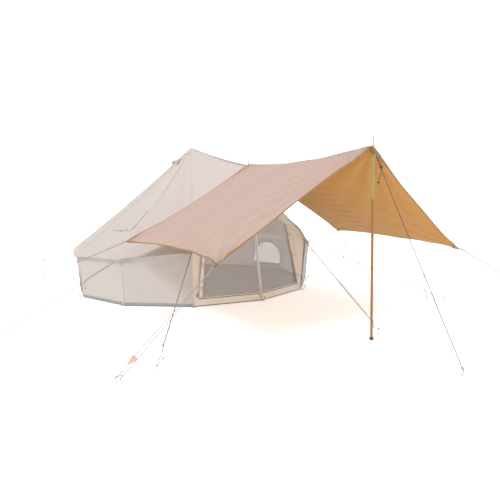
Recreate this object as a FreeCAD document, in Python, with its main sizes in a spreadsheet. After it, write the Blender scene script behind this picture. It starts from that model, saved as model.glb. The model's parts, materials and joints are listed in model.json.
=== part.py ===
import FreeCAD, Part
import math
import os
from FreeCAD import Placement, Rotation, Vector

# Bell tent with its awning, pitched on flat ground. Millimetres, +Z up, the door towards -Y.
# The origin is the centre of the groundsheet's underside, so everything stands at or above Z = 0.

SIZES = [
    ("side_count", 12, "sides of the tent"),
    ("tent_radius", 2000, "centre to a base corner"),
    ("wall_lean", 60, "how far a wall corner leans out over the wall's height"),
    ("wall_foot", 22, "lower edge of the canvas wall above the ground"),
    ("eave_radius", 2110, "centre to a corner of the roof's lower edge"),
    ("eave_rear", 650, "height of the eave at most corners"),
    ("eave_second", 680, "height of the eave at the second corner each side of the door"),
    ("eave_door", 780, "height of the eave at the corners beside the door"),
    ("apex_height", 2385, "top of the roof"),
    ("waist_radius", 1150, "where the roof's slope changes"),
    ("waist_dip", 40, "how far the roof hangs below a straight slope there"),
    ("canvas_thick", 3, "canvas, as a solid"),
    ("sheet_thick", 4, "groundsheet"),
    ("tub_radius", 1984, "centre to a corner of the groundsheet"),
    ("tub_height", 60, "upstand of the groundsheet inside the wall"),
    ("gable_along", 1721, "door apex in front of the centre"),
    ("gable_height", 1993, "door apex above the ground"),
    ("sill_height", 110, "bottom of the door opening"),
    ("sill_half", 910, "half width of the door opening at the sill"),
    ("shoulder_half", 747, "half width at the shoulder"),
    ("shoulder_height", 1100, "height of the shoulder"),
    ("haunch_half", 603, "half width above the shoulder"),
    ("haunch_height", 1205, "height above the shoulder"),
    ("door_top", 1663, "top of the door opening"),
    ("centre_pole_radius", 17, "centre pole"),
    ("frame_radius", 9.5, "door frame tube"),
    ("awning_pole_radius", 14, "awning pole"),
    ("awning_pole_top", 2040, "awning pole below its spike"),
    ("spike_radius", 4.5, "spikes"),
    ("awning_spike_length", 114, "spike above the awning pole"),
    ("door_spike_length", 90, "spike above the door frame"),
    ("ridge_run", 2627, "door apex to the awning pole, on plan"),
    ("awning_skew", 5.9, "how far the awning is turned off the door's axis, in degrees"),
    ("awning_top", 2054, "awning at its pole"),
    ("awning_dip", 62, "sag of the awning's ridge at mid span"),
    ("rope_diameter", 7, "guy rope"),
    ("runner_thick", 6, "rope runner"),
    ("peg_radius", 4, "peg wire"),
    ("window_half", 340, "half width of a window, also the radius of its arch"),
    ("window_foot", 150, "bottom of a window above the ground"),
    ("window_rise", 80, "straight part of a window's sides"),
    ("window_shift", 125, "window centre, off its panel's middle towards the door"),
    ("cover_depth", 78, "a window cover, folded down below its window"),
    ("roll_radius", 27, "a canvas door, rolled up"),
    ("roll_ahead", 42, "middle of a roll in front of the door's edge"),
    ("roll_aside", 7, "how far a roll's ends are shifted to stay along the edge"),
    ("roll_margin", 40, "roll's ends inside the sill and the shoulder"),
    ("frame_back", 36, "door frame behind the canvas"),
    ("frame_clear", 2.6, "door frame's feet above the groundsheet"),
    ("bracket_drop", 52, "middle of the frame's bracket below the door apex"),
    ("bracket_back", 42, "middle of the frame's bracket behind the door apex"),
    ("post_radius", 7, "post under the door spike"),
    ("post_hole", 12, "half width of the slit in the canvas for that post"),
    ("centre_joint", 1180, "where the centre pole's tubes meet"),
    ("awning_joint", 1340, "where the awning pole's tubes meet"),
    ("grip_foot", 1510, "bottom of the sleeve on the awning pole"),
    ("grip_length", 450, "sleeve on the awning pole"),
    ("flap_width", 440, "chimney flap across the slope"),
    ("flap_length", 460, "chimney flap up the slope"),
]

WALL_CORNERS = range(1, 11)  # a wall panel starts at each, going round from the door's right corner
GUY_CORNERS = range(1, 12)
ELBOW_REACH = 45
UP = Vector(0, 0, 1)


def make_sheet(doc):
    sheet = doc.addObject("Spreadsheet::Sheet", "Sizes")
    for row, (alias, value, note) in enumerate(SIZES, start=1):
        sheet.set(f"A{row}", note)
        sheet.set(f"B{row}", str(value))
        sheet.setAlias(f"B{row}", alias)
    doc.recompute()
    return sheet


doc = FreeCAD.newDocument("BellTent")
sheet = make_sheet(doc)
size = {alias: float(sheet.get(alias)) for alias, _, _ in SIZES}
SUBPARTS = []


# ---------------------------------------------------------------- helpers

def name_of(label):
    return "".join(word.capitalize() for word in label.split("_"))


def keep(obj, label):
    """Label an object as a sub-part, so that it is checked and written."""
    obj.Label = label
    SUBPARTS.append(obj)
    return obj


def feature(label, shapes):
    obj = doc.addObject("Part::Feature", name_of(label))
    obj.Shape = shapes[0] if len(shapes) == 1 else Part.makeCompound(shapes)
    return keep(obj, label)


def bind(obj, **expressions):
    for prop, expression in expressions.items():
        obj.setExpression(prop, expression)


def facing(start, end):
    """Placement that carries +Z onto the line from start to end."""
    return Placement(start, Rotation(UP, end - start))


def tube(label, start, end, radius):
    """A straight round bar, its radius bound to the sheet."""
    bar = doc.addObject("Part::Cylinder", name_of(label))
    bind(bar, Radius=f"Sizes.{radius}")
    bar.Height = (end - start).Length
    bar.Placement = facing(start, end)
    return bar


def face(points):
    return Part.Face(Part.makePolygon(list(points) + [points[0]]))


def plate(points, push):
    """A flat polygon thickened along push."""
    return face(points).extrude(push)


def slab(outer, inner):
    """A closed solid between two four-sided outlines with the same corners."""
    faces = [face(outer), face(inner)]
    count = len(outer)
    for here in range(count):
        there = (here + 1) % count
        faces.append(face([outer[here], outer[there], inner[there]]))
        faces.append(face([outer[here], inner[there], inner[here]]))
    solid = Part.Solid(Part.Shell(faces))
    if solid.Volume < 0:
        solid.reverse()
    return solid


def bar_between(start, end, radius):
    return Part.makeCylinder(radius, (end - start).Length, start, end - start)


def ring_at(centre, normal, major, minor):
    return Part.makeTorus(major, minor, centre, normal)


# ---------------------------------------------------------------- places

def corner(number, radius, height):
    """A corner of the twelve-sided plan, counted from the door towards +X."""
    angle = math.radians(360 / size["side_count"] * number)
    return Vector(radius * math.sin(angle), -radius * math.cos(angle), height)


def eave_height(number):
    step = min(number % 12, -number % 12)
    return {1: size["eave_door"], 2: size["eave_second"]}.get(step, size["eave_rear"])


def eave(number):
    return corner(number, size["eave_radius"], eave_height(number))


def wall_point(number, height, inset=0):
    radius = size["tent_radius"] + size["wall_lean"] * height / size["eave_rear"] - inset
    return corner(number, radius, height)


def waist(number):
    """Where the roof's slope changes, on the line from a corner to the apex."""
    share = 1 - size["waist_radius"] / size["eave_radius"]
    height = eave_height(number) + share * (size["apex_height"] - eave_height(number))
    return corner(number, size["waist_radius"], height - size["waist_dip"])


def apex():
    return Vector(0, 0, size["apex_height"])


def gable():
    return Vector(0, -size["gable_along"], size["gable_height"])


def front(side, across, height):
    """A point of the door's front, which is folded along its middle: side is -1 or 1."""
    fold = size["tent_radius"] * (1 - math.cos(math.radians(30)))
    lean = size["tent_radius"] - size["gable_along"]
    along = size["tent_radius"] - fold * across / 1000 - lean * height / size["gable_height"]
    return Vector(side * across, -along, height)


def gable_edge(side):
    """The roof's front edge, from the door apex down to the eave corner."""
    return [gable(), front(side, 700, 1300), Vector(side * 985, -1710, 1010), eave(side)]


def awning_point(along, across, height):
    """A point measured from the door apex in the awning's own turned directions."""
    turn = math.radians(size["awning_skew"])
    east = across * math.cos(turn) - along * math.sin(turn)
    south = along * math.cos(turn) + across * math.sin(turn)
    return Vector(east, -size["gable_along"] - south, height)


def awning_corners(side):
    """Back corner, middle of the side edge and front corner of one half of the awning."""
    if side < 0:
        back, middle, fore = (-200, 1830, 961), (1090, 1640, 985), (2417, 1720, 948)
    else:
        back, middle, fore = (-200, 1830, 934), (1090, 1640, 940), (2417, 1693, 843)
    return [awning_point(along, side * across, high) for along, across, high in (back, middle, fore)]


def awning_tops():
    """The two ends of the awning's ridge and its low middle."""
    start = awning_point(0, 0, size["gable_height"] + 12)
    end = awning_point(size["ridge_run"], 0, size["awning_top"])
    middle = (start + end) * 0.5 - UP * size["awning_dip"]
    return start, middle, end


def pole_foot():
    return awning_point(size["ridge_run"], 0, 0)


# ---------------------------------------------------------------- groundsheet and walls

def polygon_plate(name, radius, base, height):
    outline = doc.addObject("Part::RegularPolygon", name + "Outline")
    bind(outline, Polygon="Sizes.side_count", Circumradius=f"Sizes.{radius}")
    outline.Placement = Placement(Vector(0, 0, base), Rotation(UP, 90))
    solid = doc.addObject("Part::Extrusion", name)
    solid.Base = outline
    solid.DirMode = "Custom"
    solid.Dir = UP
    solid.Solid = True
    bind(solid, LengthFwd=f"Sizes.{height}")
    return solid


def make_groundsheet():
    """A flat floor with an upstand all round, which the canvas wall hides down to its foot."""
    floor = polygon_plate("GroundFloor", "tub_radius", 0, "sheet_thick")
    rim = doc.addObject("Part::Feature", "GroundRim")
    radius = size["tub_radius"]
    low, high = size["sheet_thick"], size["tub_height"]
    strips = []
    for number in range(12):
        outer = [corner(number + a, radius, z) for a, z in ((0, low), (1, low), (1, high), (0, high))]
        inner = [corner(number + a, radius - 4, z) for a, z in ((0, low), (1, low), (1, high), (0, high))]
        strips.append(slab(outer, inner))
    rim.Shape = Part.makeCompound(strips)
    both = doc.addObject("Part::Compound", "Groundsheet")
    both.Links = [floor, rim]
    keep(both, "groundsheet")


def wall_panel(number):
    tops = [eave_height(n) + 20 for n in (number, number + 1)]
    foot = size["wall_foot"]
    ends = ((number, foot), (number + 1, foot), (number + 1, tops[1]), (number, tops[0]))
    outer = [wall_point(n, z) for n, z in ends]
    inner = [wall_point(n, z, size["canvas_thick"]) for n, z in ends]
    return slab(outer, inner)


def window_frame(side):
    """Local axes of a window: its foot's middle, across (towards the door), up and out."""
    near, far = (3, 4) if side > 0 else (9, 8)
    foot = size["window_foot"]
    a, b = wall_point(near, foot), wall_point(far, foot)
    across = (a - b).normalize()
    out = (a + b).normalize()
    rise = (wall_point(near, foot + 100) - a).normalize()
    up = (rise - across * rise.dot(across)).normalize()
    return (a + b) * 0.5 + across * size["window_shift"], across, up, across.cross(up) * side


def window_face(side, grow):
    """An arched outline in the wall's plane, larger than the window by grow."""
    middle, across, up, _ = window_frame(side)
    half = size["window_half"] + grow
    low, high = -grow, size["window_rise"]
    left = middle - across * half + up * low
    right = middle + across * half + up * low
    shoulder_right = middle + across * half + up * high
    shoulder_left = middle - across * half + up * high
    crown = middle + up * (high + half)
    edges = [Part.makeLine(left, right), Part.makeLine(right, shoulder_right)]
    edges.append(Part.Arc(shoulder_right, crown, shoulder_left).toShape())
    edges.append(Part.makeLine(shoulder_left, left))
    return Part.Face(Part.Wire(edges))


def make_walls():
    """Ten panels, with an arched window cut in one on each side."""
    panels = []
    for number in WALL_CORNERS:
        panel = wall_panel(number)
        for side, holder in ((1, 3), (-1, 8)):
            if number == holder:
                normal = window_frame(side)[3]
                hole = window_face(side, 0)
                hole.translate(normal * -20)
                panel = panel.cut(hole.extrude(normal * 40))
        panels.append(panel.Solids[0] if panel.Solids else panel)
    feature("wall_canvas", panels)


def make_windows():
    meshes = []
    for side, word in ((1, "right"), (-1, "left")):
        middle, across, up, out = window_frame(side)
        mesh = window_face(side, -1)
        mesh.translate(out * -2.5)
        meshes.append(mesh.extrude(out * 1.5))
        hinge = middle - out * 9 - up * 6
        half = size["window_half"] - 10
        down = up * -size["cover_depth"]
        ends = (across * half, across * -half, across * -half + down, across * half + down)
        feature(f"window_cover_{word}", [plate([hinge + end for end in ends], out * -9)])
    feature("window_meshes", meshes)


# ---------------------------------------------------------------- roof

def roof_facets():
    facets = []
    for number in WALL_CORNERS:
        low, lows = eave(number), eave(number + 1)
        mid, mids = waist(number), waist(number + 1)
        facets += [(low, lows, mids), (low, mids, mid), (mid, mids, apex())]
    for side in (1, -1):
        top, upper, lower, foot = gable_edge(side)
        hip = waist(side)
        facets += [(apex(), top, upper), (apex(), upper, hip), (upper, lower, hip), (lower, foot, hip)]
    return facets


def make_roof():
    drop = UP * -size["canvas_thick"]
    feature("roof_canvas", [plate(list(points), drop) for points in roof_facets()])


def slope_frame(degrees, radius):
    """Axes on the roof's lower slope at an angle from the door: a point, across, up the slope, out."""
    below = Vector(radius * math.sin(math.radians(degrees)), -radius * math.cos(math.radians(degrees)), 0)
    edge, edges, top = eave(10), eave(9), waist(9)
    out = (edges - edge).cross(top - edge).normalize()
    out = out if out.z > 0 else out * -1
    height = edge.z - ((below.x - edge.x) * out.x + (below.y - edge.y) * out.y) / out.z
    point = Vector(below.x, below.y, height)
    across = (edge - edges).normalize()
    return point, across, out.cross(across), out


def make_chimney_flap():
    """A fireproof patch on the left slope, under a canvas flap that folds down from its top edge."""
    point, across, up, out = slope_frame(-74.5, 1370)
    half, rise = size["flap_width"] / 2, size["flap_length"] / 2

    def rectangle(grow, lift):
        ends = ((-1, -1), (1, -1), (1, 1), (-1, 1))
        centre = point + out * lift
        return [centre + across * (half + grow) * a + up * (rise + grow) * b for a, b in ends]

    feature("chimney_patch", [plate(rectangle(-25, 0.6), out * 2)])
    feature("chimney_flap", [plate(rectangle(0, 3.6), out * 2)])


def make_vent_hoods():
    """Three small hoods close below the apex, each a triangular pocket open downhill."""
    hoods = []
    for degrees in (-90, 90, 180):
        turn = Rotation(UP, degrees)
        base = [Vector(-75, -330, 0), Vector(75, -330, 0), Vector(0, -205, 0)]
        slope = (size["apex_height"] - waist(6).z) / size["waist_radius"]
        top = size["apex_height"] + 6
        points = [turn.multVec(p + UP * (top + slope * p.y * 1.035)) for p in base]
        crest = turn.multVec(Vector(0, -345, size["apex_height"] - slope * 345 + 75))
        for pair in ((points[0], points[2]), (points[2], points[1])):
            normal = (pair[1] - pair[0]).cross(crest - pair[0]).normalize()
            hoods.append(plate([pair[0], pair[1], crest], normal * 2.5))
    feature("vent_hoods", hoods)


# ---------------------------------------------------------------- door

def make_surround(side, word):
    """The canvas round half of the door opening: flat pieces, notched at the top round the spike's post."""
    top, upper, lower, foot = gable_edge(side)
    foot = foot + Vector(-side * 30, 50, 20)
    lower = lower + Vector(-side * 12, 12, -16)
    upper = upper + Vector(-side * 6, 6, -12)
    top = top + Vector(0, 8, -16)
    base = corner(side, size["tent_radius"] - 6, size["wall_foot"])
    centre = front(side, 0, size["wall_foot"])
    sill_mid = front(side, 0, size["sill_height"])
    sill = front(side, size["sill_half"], size["sill_height"])
    shoulder = front(side, size["shoulder_half"], size["shoulder_height"])
    haunch = front(side, size["haunch_half"], size["haunch_height"])
    crown = front(side, 0, size["door_top"])
    facets = [(centre, base, sill), (centre, sill, sill_mid)]
    facets += [(base, foot, sill), (foot, shoulder, sill), (foot, lower, shoulder)]
    facets += [(lower, upper, shoulder), (upper, haunch, shoulder)]
    facets += [(upper, top, haunch), (top, crown, haunch)]
    back = Vector(0, size["canvas_thick"], 0)
    wide, deep = size["post_hole"], 3 * size["post_hole"]
    notch = Part.makeBox(2 * wide, deep, deep * 2, gable() - Vector(wide, wide, deep * 2))
    pieces = [plate(list(points), back).cut(notch) for points in facets]
    feature(f"door_surround_{word}", [max(piece.Solids, key=lambda solid: solid.Volume) for piece in pieces])


def leaf_outline(side):
    """Corners of one mesh leaf, 4 mm inside the opening, from the foot of its hinge edge."""
    gap = 4
    inner = 16 if side > 0 else 1
    points = [(size["sill_half"] - gap, size["sill_height"] + gap)]
    points.append((size["shoulder_half"] - gap, size["shoulder_height"] - 2))
    points.append((size["haunch_half"] - 3, size["haunch_height"] - gap))
    points.append((inner, size["door_top"] - 12 - inner * 0.76))
    points.append((inner, size["sill_height"] + gap))
    return [front(side, across, height) for across, height in points]


def make_leaves():
    for side, word in ((1, "right"), (-1, "left")):
        mesh = plate(leaf_outline(side), Vector(0, 2, 0))
        feature(f"door_mesh_{word}", [mesh])
    foot = front(1, 0, size["sill_height"] + 6)
    top = front(1, 0, size["door_top"] - 30)
    out = Vector(0, -1, 0.14).normalize()
    half = Vector(11, 0, 0)
    ends = [foot - half, foot + half, top + half, top - half]
    lifted = [end + out * 5 for end in ends]
    feature("door_zip_strip", [plate(lifted, out * 2)])


def make_zip_slider():
    """Slider with its pull tab, at the foot of the middle zip, running up the strip."""
    out = Vector(0, -1, 0.14).normalize()
    body = doc.addObject("PartDesign::Body", "ZipSlider")
    plane = next(f for f in body.Origin.OriginFeatures if f.Role == "XY_Plane")
    sketch = body.newObject("Sketcher::SketchObject", "ZipSliderOutline")
    sketch.AttachmentSupport = [(plane, "")]
    sketch.MapMode = "FlatFace"
    outline = [(-9, 0), (9, 0), (7, 22), (4, 60), (-4, 60), (-7, 22)]
    for start, end in zip(outline, outline[1:] + outline[:1]):
        sketch.addGeometry(Part.LineSegment(Vector(*start, 0), Vector(*end, 0)))
    pad = body.newObject("PartDesign::Pad", "ZipSliderPad")
    pad.Profile = sketch
    bind(pad, Length="Sizes.runner_thick - 2")
    at = front(1, 0, size["sill_height"] + 30) + out * 7.6
    up = Vector(0, 0.14, 1).normalize()
    across = up.cross(out)
    body.Placement = Placement(at, Rotation(across, up, out, "ZXY"))
    keep(body, "door_zip_slider")


def make_door_rolls():
    """The canvas doors, rolled back and tied along the sides of the opening."""
    for side, word in ((1, "right"), (-1, "left")):
        ahead = Vector(0, -size["roll_ahead"], 0)
        margin, aside = size["roll_margin"], size["roll_aside"]
        low = front(side, size["sill_half"] - aside, size["sill_height"] + margin) + ahead
        high = front(side, size["shoulder_half"] + aside, size["shoulder_height"] - margin) + ahead
        roll = doc.addObject("Part::Cylinder", name_of(f"door_roll_{word}"))
        bind(roll, Radius="Sizes.roll_radius")
        roll.Height = (high - low).Length
        roll.Placement = facing(low, high)
        keep(roll, f"door_roll_{word}")


# ---------------------------------------------------------------- poles

def make_centre_pole():
    """Two steel tubes that meet in a sleeve, a rubber foot and a cap under the roof."""
    foot_top = size["sheet_thick"] + 30
    joint = size["centre_joint"]
    top = size["apex_height"] - 40
    keep(tube("centre_pole_lower", Vector(0, 0, foot_top), Vector(0, 0, joint), "centre_pole_radius"),
         "centre_pole_lower")
    keep(tube("centre_pole_upper", Vector(0, 0, joint), Vector(0, 0, top), "centre_pole_radius"),
         "centre_pole_upper")
    radius = size["centre_pole_radius"]
    sleeve = Part.makeCylinder(radius + 2.5, 120, Vector(0, 0, joint - 60))
    sleeve = sleeve.cut(Part.makeCylinder(radius, 120, Vector(0, 0, joint - 60)))
    feature("centre_pole_sleeve", [sleeve])
    foot = doc.addObject("Part::Cone", "CentrePoleFoot")
    bind(foot, Radius1="Sizes.centre_pole_radius * 2.6", Radius2="Sizes.centre_pole_radius * 1.4")
    foot.Height = 30
    foot.Placement.Base = Vector(0, 0, size["sheet_thick"])
    keep(foot, "centre_pole_foot")
    cap = doc.addObject("Part::Cone", "CentrePoleCap")
    bind(cap, Radius1="Sizes.centre_pole_radius * 1.3")
    cap.Radius2 = 4
    cap.Height = 28
    cap.Placement.Base = Vector(0, 0, top)
    keep(cap, "centre_pole_cap")


def frame_points(side):
    """Foot, elbow and head of one side of the door frame, inside the canvas."""
    back = Vector(0, size["frame_back"], 0)
    foot = front(side, 948, size["sheet_thick"] + size["frame_clear"]) + back
    elbow = front(side, 790, 1165) + back + Vector(0, 6, 0)
    head = gable() + Vector(side * 22, size["bracket_back"], -62)
    return foot, elbow, head


def make_door_frame():
    """Legs and rafters of steel tube, joined by elbows and by a bracket that carries a spike."""
    elbows, legs, rafters = [], [], []
    for side, word in ((1, "right"), (-1, "left")):
        foot, elbow, head = frame_points(side)
        up, slope = (elbow - foot).normalize(), (head - elbow).normalize()
        legs.append(tube(f"leg_{word}", foot, elbow - up * ELBOW_REACH, "frame_radius"))
        rafters.append(tube(f"rafter_{word}", elbow + slope * ELBOW_REACH, head, "frame_radius"))
        elbows.append(rope_tube([elbow - up * ELBOW_REACH, elbow, elbow + slope * ELBOW_REACH], 24))
    for label, tubes in (("door_frame_legs", legs), ("door_frame_rafters", rafters)):
        pair = doc.addObject("Part::Compound", name_of(label))
        pair.Links = tubes
        keep(pair, label)
    feature("door_frame_elbows", elbows)
    centre = gable() + Vector(0, size["bracket_back"], -size["bracket_drop"])
    bracket = Part.makeBox(64, 30, 34, centre - Vector(32, 15, 17))
    lug = Part.makeBox(10, size["bracket_back"], 14, gable() - Vector(5, 0, 38))
    post = Part.makeCylinder(size["post_radius"], 20, gable() - UP * 38)
    feature("door_frame_bracket", [bracket.fuse([lug, post]).removeSplitter()])
    tip = gable() + UP * size["door_spike_length"]
    keep(tube("door_frame_spike", gable() - UP * 18, tip, "spike_radius"), "door_frame_spike")


def make_awning_pole():
    """Lower and upper tubes, the upper one in a sleeve, with a ball foot and a spike."""
    foot = pole_foot()
    joint, top = foot + UP * size["awning_joint"], foot + UP * size["awning_pole_top"]
    keep(tube("awning_pole_lower", foot + UP * 34, joint, "awning_pole_radius"), "awning_pole_lower")
    keep(tube("awning_pole_upper", joint, top, "awning_pole_radius"), "awning_pole_upper")
    radius, low = size["awning_pole_radius"], foot + UP * size["grip_foot"]
    sleeve = Part.makeCylinder(radius + 2, size["grip_length"], low)
    feature("awning_pole_grip", [sleeve.cut(Part.makeCylinder(radius, size["grip_length"], low))])
    ball = Part.makeSphere(24, foot + UP * 24)
    ball = ball.common(Part.makeBox(60, 60, 34, foot - Vector(30, 30, 0)))
    ball = ball.cut(Part.makeCylinder(radius, 60, foot + UP * 34))
    feature("awning_pole_foot", [ball])
    spike = doc.addObject("Part::Cylinder", "AwningPoleSpike")
    bind(spike, Radius="Sizes.spike_radius", Height="Sizes.awning_spike_length")
    spike.Placement.Base = top
    keep(spike, "awning_pole_spike")


# ---------------------------------------------------------------- awning

def awning_facets(side):
    start, middle, end = awning_tops()
    back, edge, fore = awning_corners(side)
    back_edge = (start + back) * 0.5 + awning_point(70, 0, -22) - awning_point(0, 0, 0)
    fore_edge = (end + fore) * 0.5 + awning_point(-70, 0, -18) - awning_point(0, 0, 0)
    return [(start, middle, back_edge), (back_edge, middle, back), (middle, edge, back),
            (middle, fore, edge), (middle, fore_edge, fore), (middle, end, fore_edge)]


def make_awning():
    drop = UP * -size["canvas_thick"]
    for side, word in ((1, "right"), (-1, "left")):
        feature(f"awning_{word}", [plate(list(points), drop) for points in awning_facets(side)])
    start, _, end = awning_tops()
    rings = [ring_at(point + UP * 3, UP, 9.5, 3) for point in (start, end)]
    feature("awning_grommets", rings)


# ---------------------------------------------------------------- ropes, rings, runners and pegs

class Guy:
    """One guy line: a ring on the canvas, a peg in the ground and a runner on the doubled rope."""

    def __init__(self, label, corner_point, peg, share=0.25, tail=130, lean=0):
        self.label = label
        self.peg = peg
        self.line = (peg - corner_point).normalize()
        self.side = self.line.cross(UP).normalize()
        self.over = self.side.cross(self.line).normalize()
        self.wire = corner_point + self.line * 62
        self.share = share
        self.tail = tail
        self.lean = lean

    def along(self, distance, over=0.0):
        return self.wire + self.line * distance + self.over * over

    def run(self):
        return (self.peg - self.wire).Length

    def runner_at(self):
        return self.run() * self.share

    def spread(self):
        """Half the distance between the two strands."""
        return 8.0

    def turned(self):
        """Turns local X to the side, Y over the line and Z along it."""
        return Rotation(self.side, self.over, self.line, "ZXY")

    def hook_axis(self):
        return self.over

    def rope_ends(self):
        return [self.route()[0]]

    def route(self):
        """From the peg up to the ring, round its wire, back to the runner and down the loose tail."""
        gap = self.spread()
        turn = self.along(-gap, -gap), self.along(-gap, gap)
        middle = self.along(self.run() * 0.5, -gap) - UP * 4
        runner = self.along(self.runner_at() + 5, gap)
        out = self.along(self.runner_at() + 30, gap + 3)
        low = out + self.line * 18 - UP * 45 + self.side * self.lean
        end = out + self.line * 14 - UP * self.tail + self.side * self.lean * 2
        return [self.along(self.run(), -gap), middle, turn[0], turn[1], runner, out, low, end]


class DoubleGuy(Guy):
    """A long loop from the ring to two pegs side by side, spread by a three-cornered runner."""

    def strand(self, distance, aside):
        return self.along(distance) + self.side * aside

    def hook_axis(self):
        return self.side

    def rope_ends(self):
        route = self.route()
        return [route[0], route[-1]]

    def route(self):
        at, ground = self.runner_at(), self.run()
        first = [self.strand(ground, -42), self.strand(at, -48), self.strand(ground * 0.4, -25) - UP * 5]
        turn = [self.strand(-8, -8), self.strand(-8, 8)]
        second = [self.strand(ground * 0.4, 25) - UP * 5, self.strand(at - 20, 50), self.strand(at + 45, 14)]
        return first + turn + second + [self.strand(ground + 30, 34)]


def peg_at(x, y):
    return Vector(x, y, 62)


def make_guys():
    """Every guy line of the tent and the awning, by its place."""
    plans = {1: (1940, -3730), 2: (3430, -2330), 3: (3640, 0), 4: (3290, 1990), 5: (1960, 3380),
             6: (0, 3950), 7: (-1960, 3380), 8: (-3350, 2020), 9: (-3640, 0), 10: (-3760, -2170),
             11: (-2530, -3820)}
    names = {1: "right_1", 2: "right_2", 3: "right_3", 4: "right_4", 5: "right_5", 6: "rear",
             7: "left_5", 8: "left_4", 9: "left_3", 10: "left_2", 11: "left_1"}
    guys = []
    for number in GUY_CORNERS:
        share = 0.86 if number in (1, 11) else 0.25
        guys.append(Guy(f"guy_{names[number]}", eave(number), peg_at(*plans[number]), share, 120))
    back_left, _, fore_left = awning_corners(-1)
    back_right, _, fore_right = awning_corners(1)
    guys.append(Guy("guy_door_corner", eave(1) + Vector(-14, -10, -12), peg_at(-40, -4240), 0.93, 60))
    guys.append(Guy("guy_awning_back_left", back_left, peg_at(-3300, 450), 0.3))
    guys.append(Guy("guy_awning_back_right", back_right, peg_at(2400, -1950), 0.2))
    guys.append(Guy("guy_awning_front_right", fore_right, peg_at(2560, -4960), 0.85))
    guys.append(DoubleGuy("guy_awning_front_left", fore_left, peg_at(-2890, -3850), 0.86))
    peg = peg_at(-480, -5540)
    pole_top = pole_foot() + UP * (size["awning_pole_top"] - 40)
    level = Vector(peg.x - pole_top.x, peg.y - pole_top.y, 0).normalize()
    pole_top = pole_top + level * (size["awning_pole_radius"] + 5)
    guys.append(Guy("guy_awning_pole", pole_top, peg, 0.055, 135, 25))
    return guys


def rope_tube(points, diameter):
    """Straight runs joined by tangent arcs, swept with a round section."""
    edges, radii = [], []
    here = points[0]
    for before, at, after in zip(points, points[1:], points[2:]):
        back, ahead = before - at, after - at
        half = (math.pi - back.getAngle(ahead)) / 2
        reach = 0.45 * min(back.Length, ahead.Length)
        start = at + back.normalize() * reach
        end = at + ahead.normalize() * reach
        radius = reach / math.tan(half)
        radii.append(radius)
        bisector = (back + ahead).normalize()
        middle = at + bisector * (radius / math.cos(half) - radius)
        edges.append(Part.LineSegment(here, start).toShape())
        edges.append(Part.Arc(start, middle, end).toShape())
        here = end
    edges.append(Part.LineSegment(here, points[-1]).toShape())
    path = Part.Wire(edges)
    profile = Part.Wire(Part.makeCircle(diameter / 2, points[0], points[1] - points[0]))
    solid = path.makePipeShell([profile], True, True)
    ratio = solid.Volume / (math.pi * diameter ** 2 / 4 * path.Length)
    print(f"rope of {path.Length:.0f} mm, smallest radius {min(radii):.1f} mm, volume ratio {ratio:.3f}")
    return solid


def make_ropes(guys):
    for guy in guys:
        feature(guy.label, [rope_tube(guy.route(), size["rope_diameter"])])


def runner_plate(guy):
    """A flat runner across the line, with a hole for each strand."""
    thick = size["runner_thick"]
    block = Part.makeBox(22, 40, thick, Vector(-11, -20, 0))
    for shift in (-guy.spread(), guy.spread()):
        block = block.cut(Part.makeCylinder(6, thick, Vector(0, shift, 0)))
    block.Placement = Placement(guy.along(guy.runner_at() + 10), guy.turned())
    return block


def make_triangle_runner(guy):
    """The three-cornered runner of the double guy, lying on its two strands."""
    body = doc.addObject("PartDesign::Body", "TriangleRunner")
    plane = next(f for f in body.Origin.OriginFeatures if f.Role == "XY_Plane")
    sketch = body.newObject("Sketcher::SketchObject", "TriangleRunnerOutline")
    sketch.AttachmentSupport = [(plane, "")]
    sketch.MapMode = "FlatFace"
    outline = [(-66, -34), (-44, -38), (62, -38), (68, -20), (24, 52), (4, 54)]
    for start, end in zip(outline, outline[1:] + outline[:1]):
        sketch.addGeometry(Part.LineSegment(Vector(*start, 0), Vector(*end, 0)))
    for x, y in ((-48, -24), (50, -24), (14, 36)):
        sketch.addGeometry(Part.Circle(Vector(x, y, 0), UP, 6))
    pad = body.newObject("PartDesign::Pad", "TriangleRunnerPad")
    pad.Profile = sketch
    bind(pad, Length="Sizes.runner_thick")
    at = guy.along(guy.runner_at(), size["rope_diameter"] / 2 + 0.6)
    body.Placement = Placement(at, Rotation(guy.side, guy.line, guy.over, "ZXY"))
    keep(body, "runner_awning_front_left")


def tab_and_ring(guy):
    """A folded webbing tab sewn to the corner, and the steel ring in it."""
    length, width = 40, 26
    tab = Part.makeBox(width, 3, length, Vector(-width / 2, -1.5, 0))
    tab.Placement = Placement(guy.along(-62), guy.turned())
    ring = ring_at(guy.along(-14), guy.hook_axis(), 14, 2.5)
    return tab, ring


def peg_solids(guy):
    """The part of each peg above the ground: a wire that leans away, with the rope against it."""
    away = Vector(guy.line.x, guy.line.y, 0).normalize()
    pegs = []
    for end in guy.rope_ends():
        top = end + guy.line * (size["peg_radius"] + 2)
        foot = Vector(top.x, top.y, 0) - away * 18
        shank = bar_between(foot - UP * 30, top + (top - foot) * 0.3, size["peg_radius"])
        pegs.append(shank.common(Part.makeBox(200, 200, 400, foot - Vector(100, 100, 0))))
    return pegs


def make_guy_fittings(guys):
    pairs = [tab_and_ring(guy) for guy in guys]
    feature("guy_tabs", [tab for tab, _ in pairs])
    feature("guy_rings", [ring for _, ring in pairs])
    single = {"guy_awning_front_left", "guy_awning_pole"}
    feature("guy_runners", [runner_plate(guy) for guy in guys if guy.label not in single])
    by_label = {guy.label: guy for guy in guys}
    feature("runner_awning_pole", [runner_plate(by_label["guy_awning_pole"])])
    make_triangle_runner(by_label["guy_awning_front_left"])
    feature("guy_pegs", [peg for guy in guys for peg in peg_solids(guy)])


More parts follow.
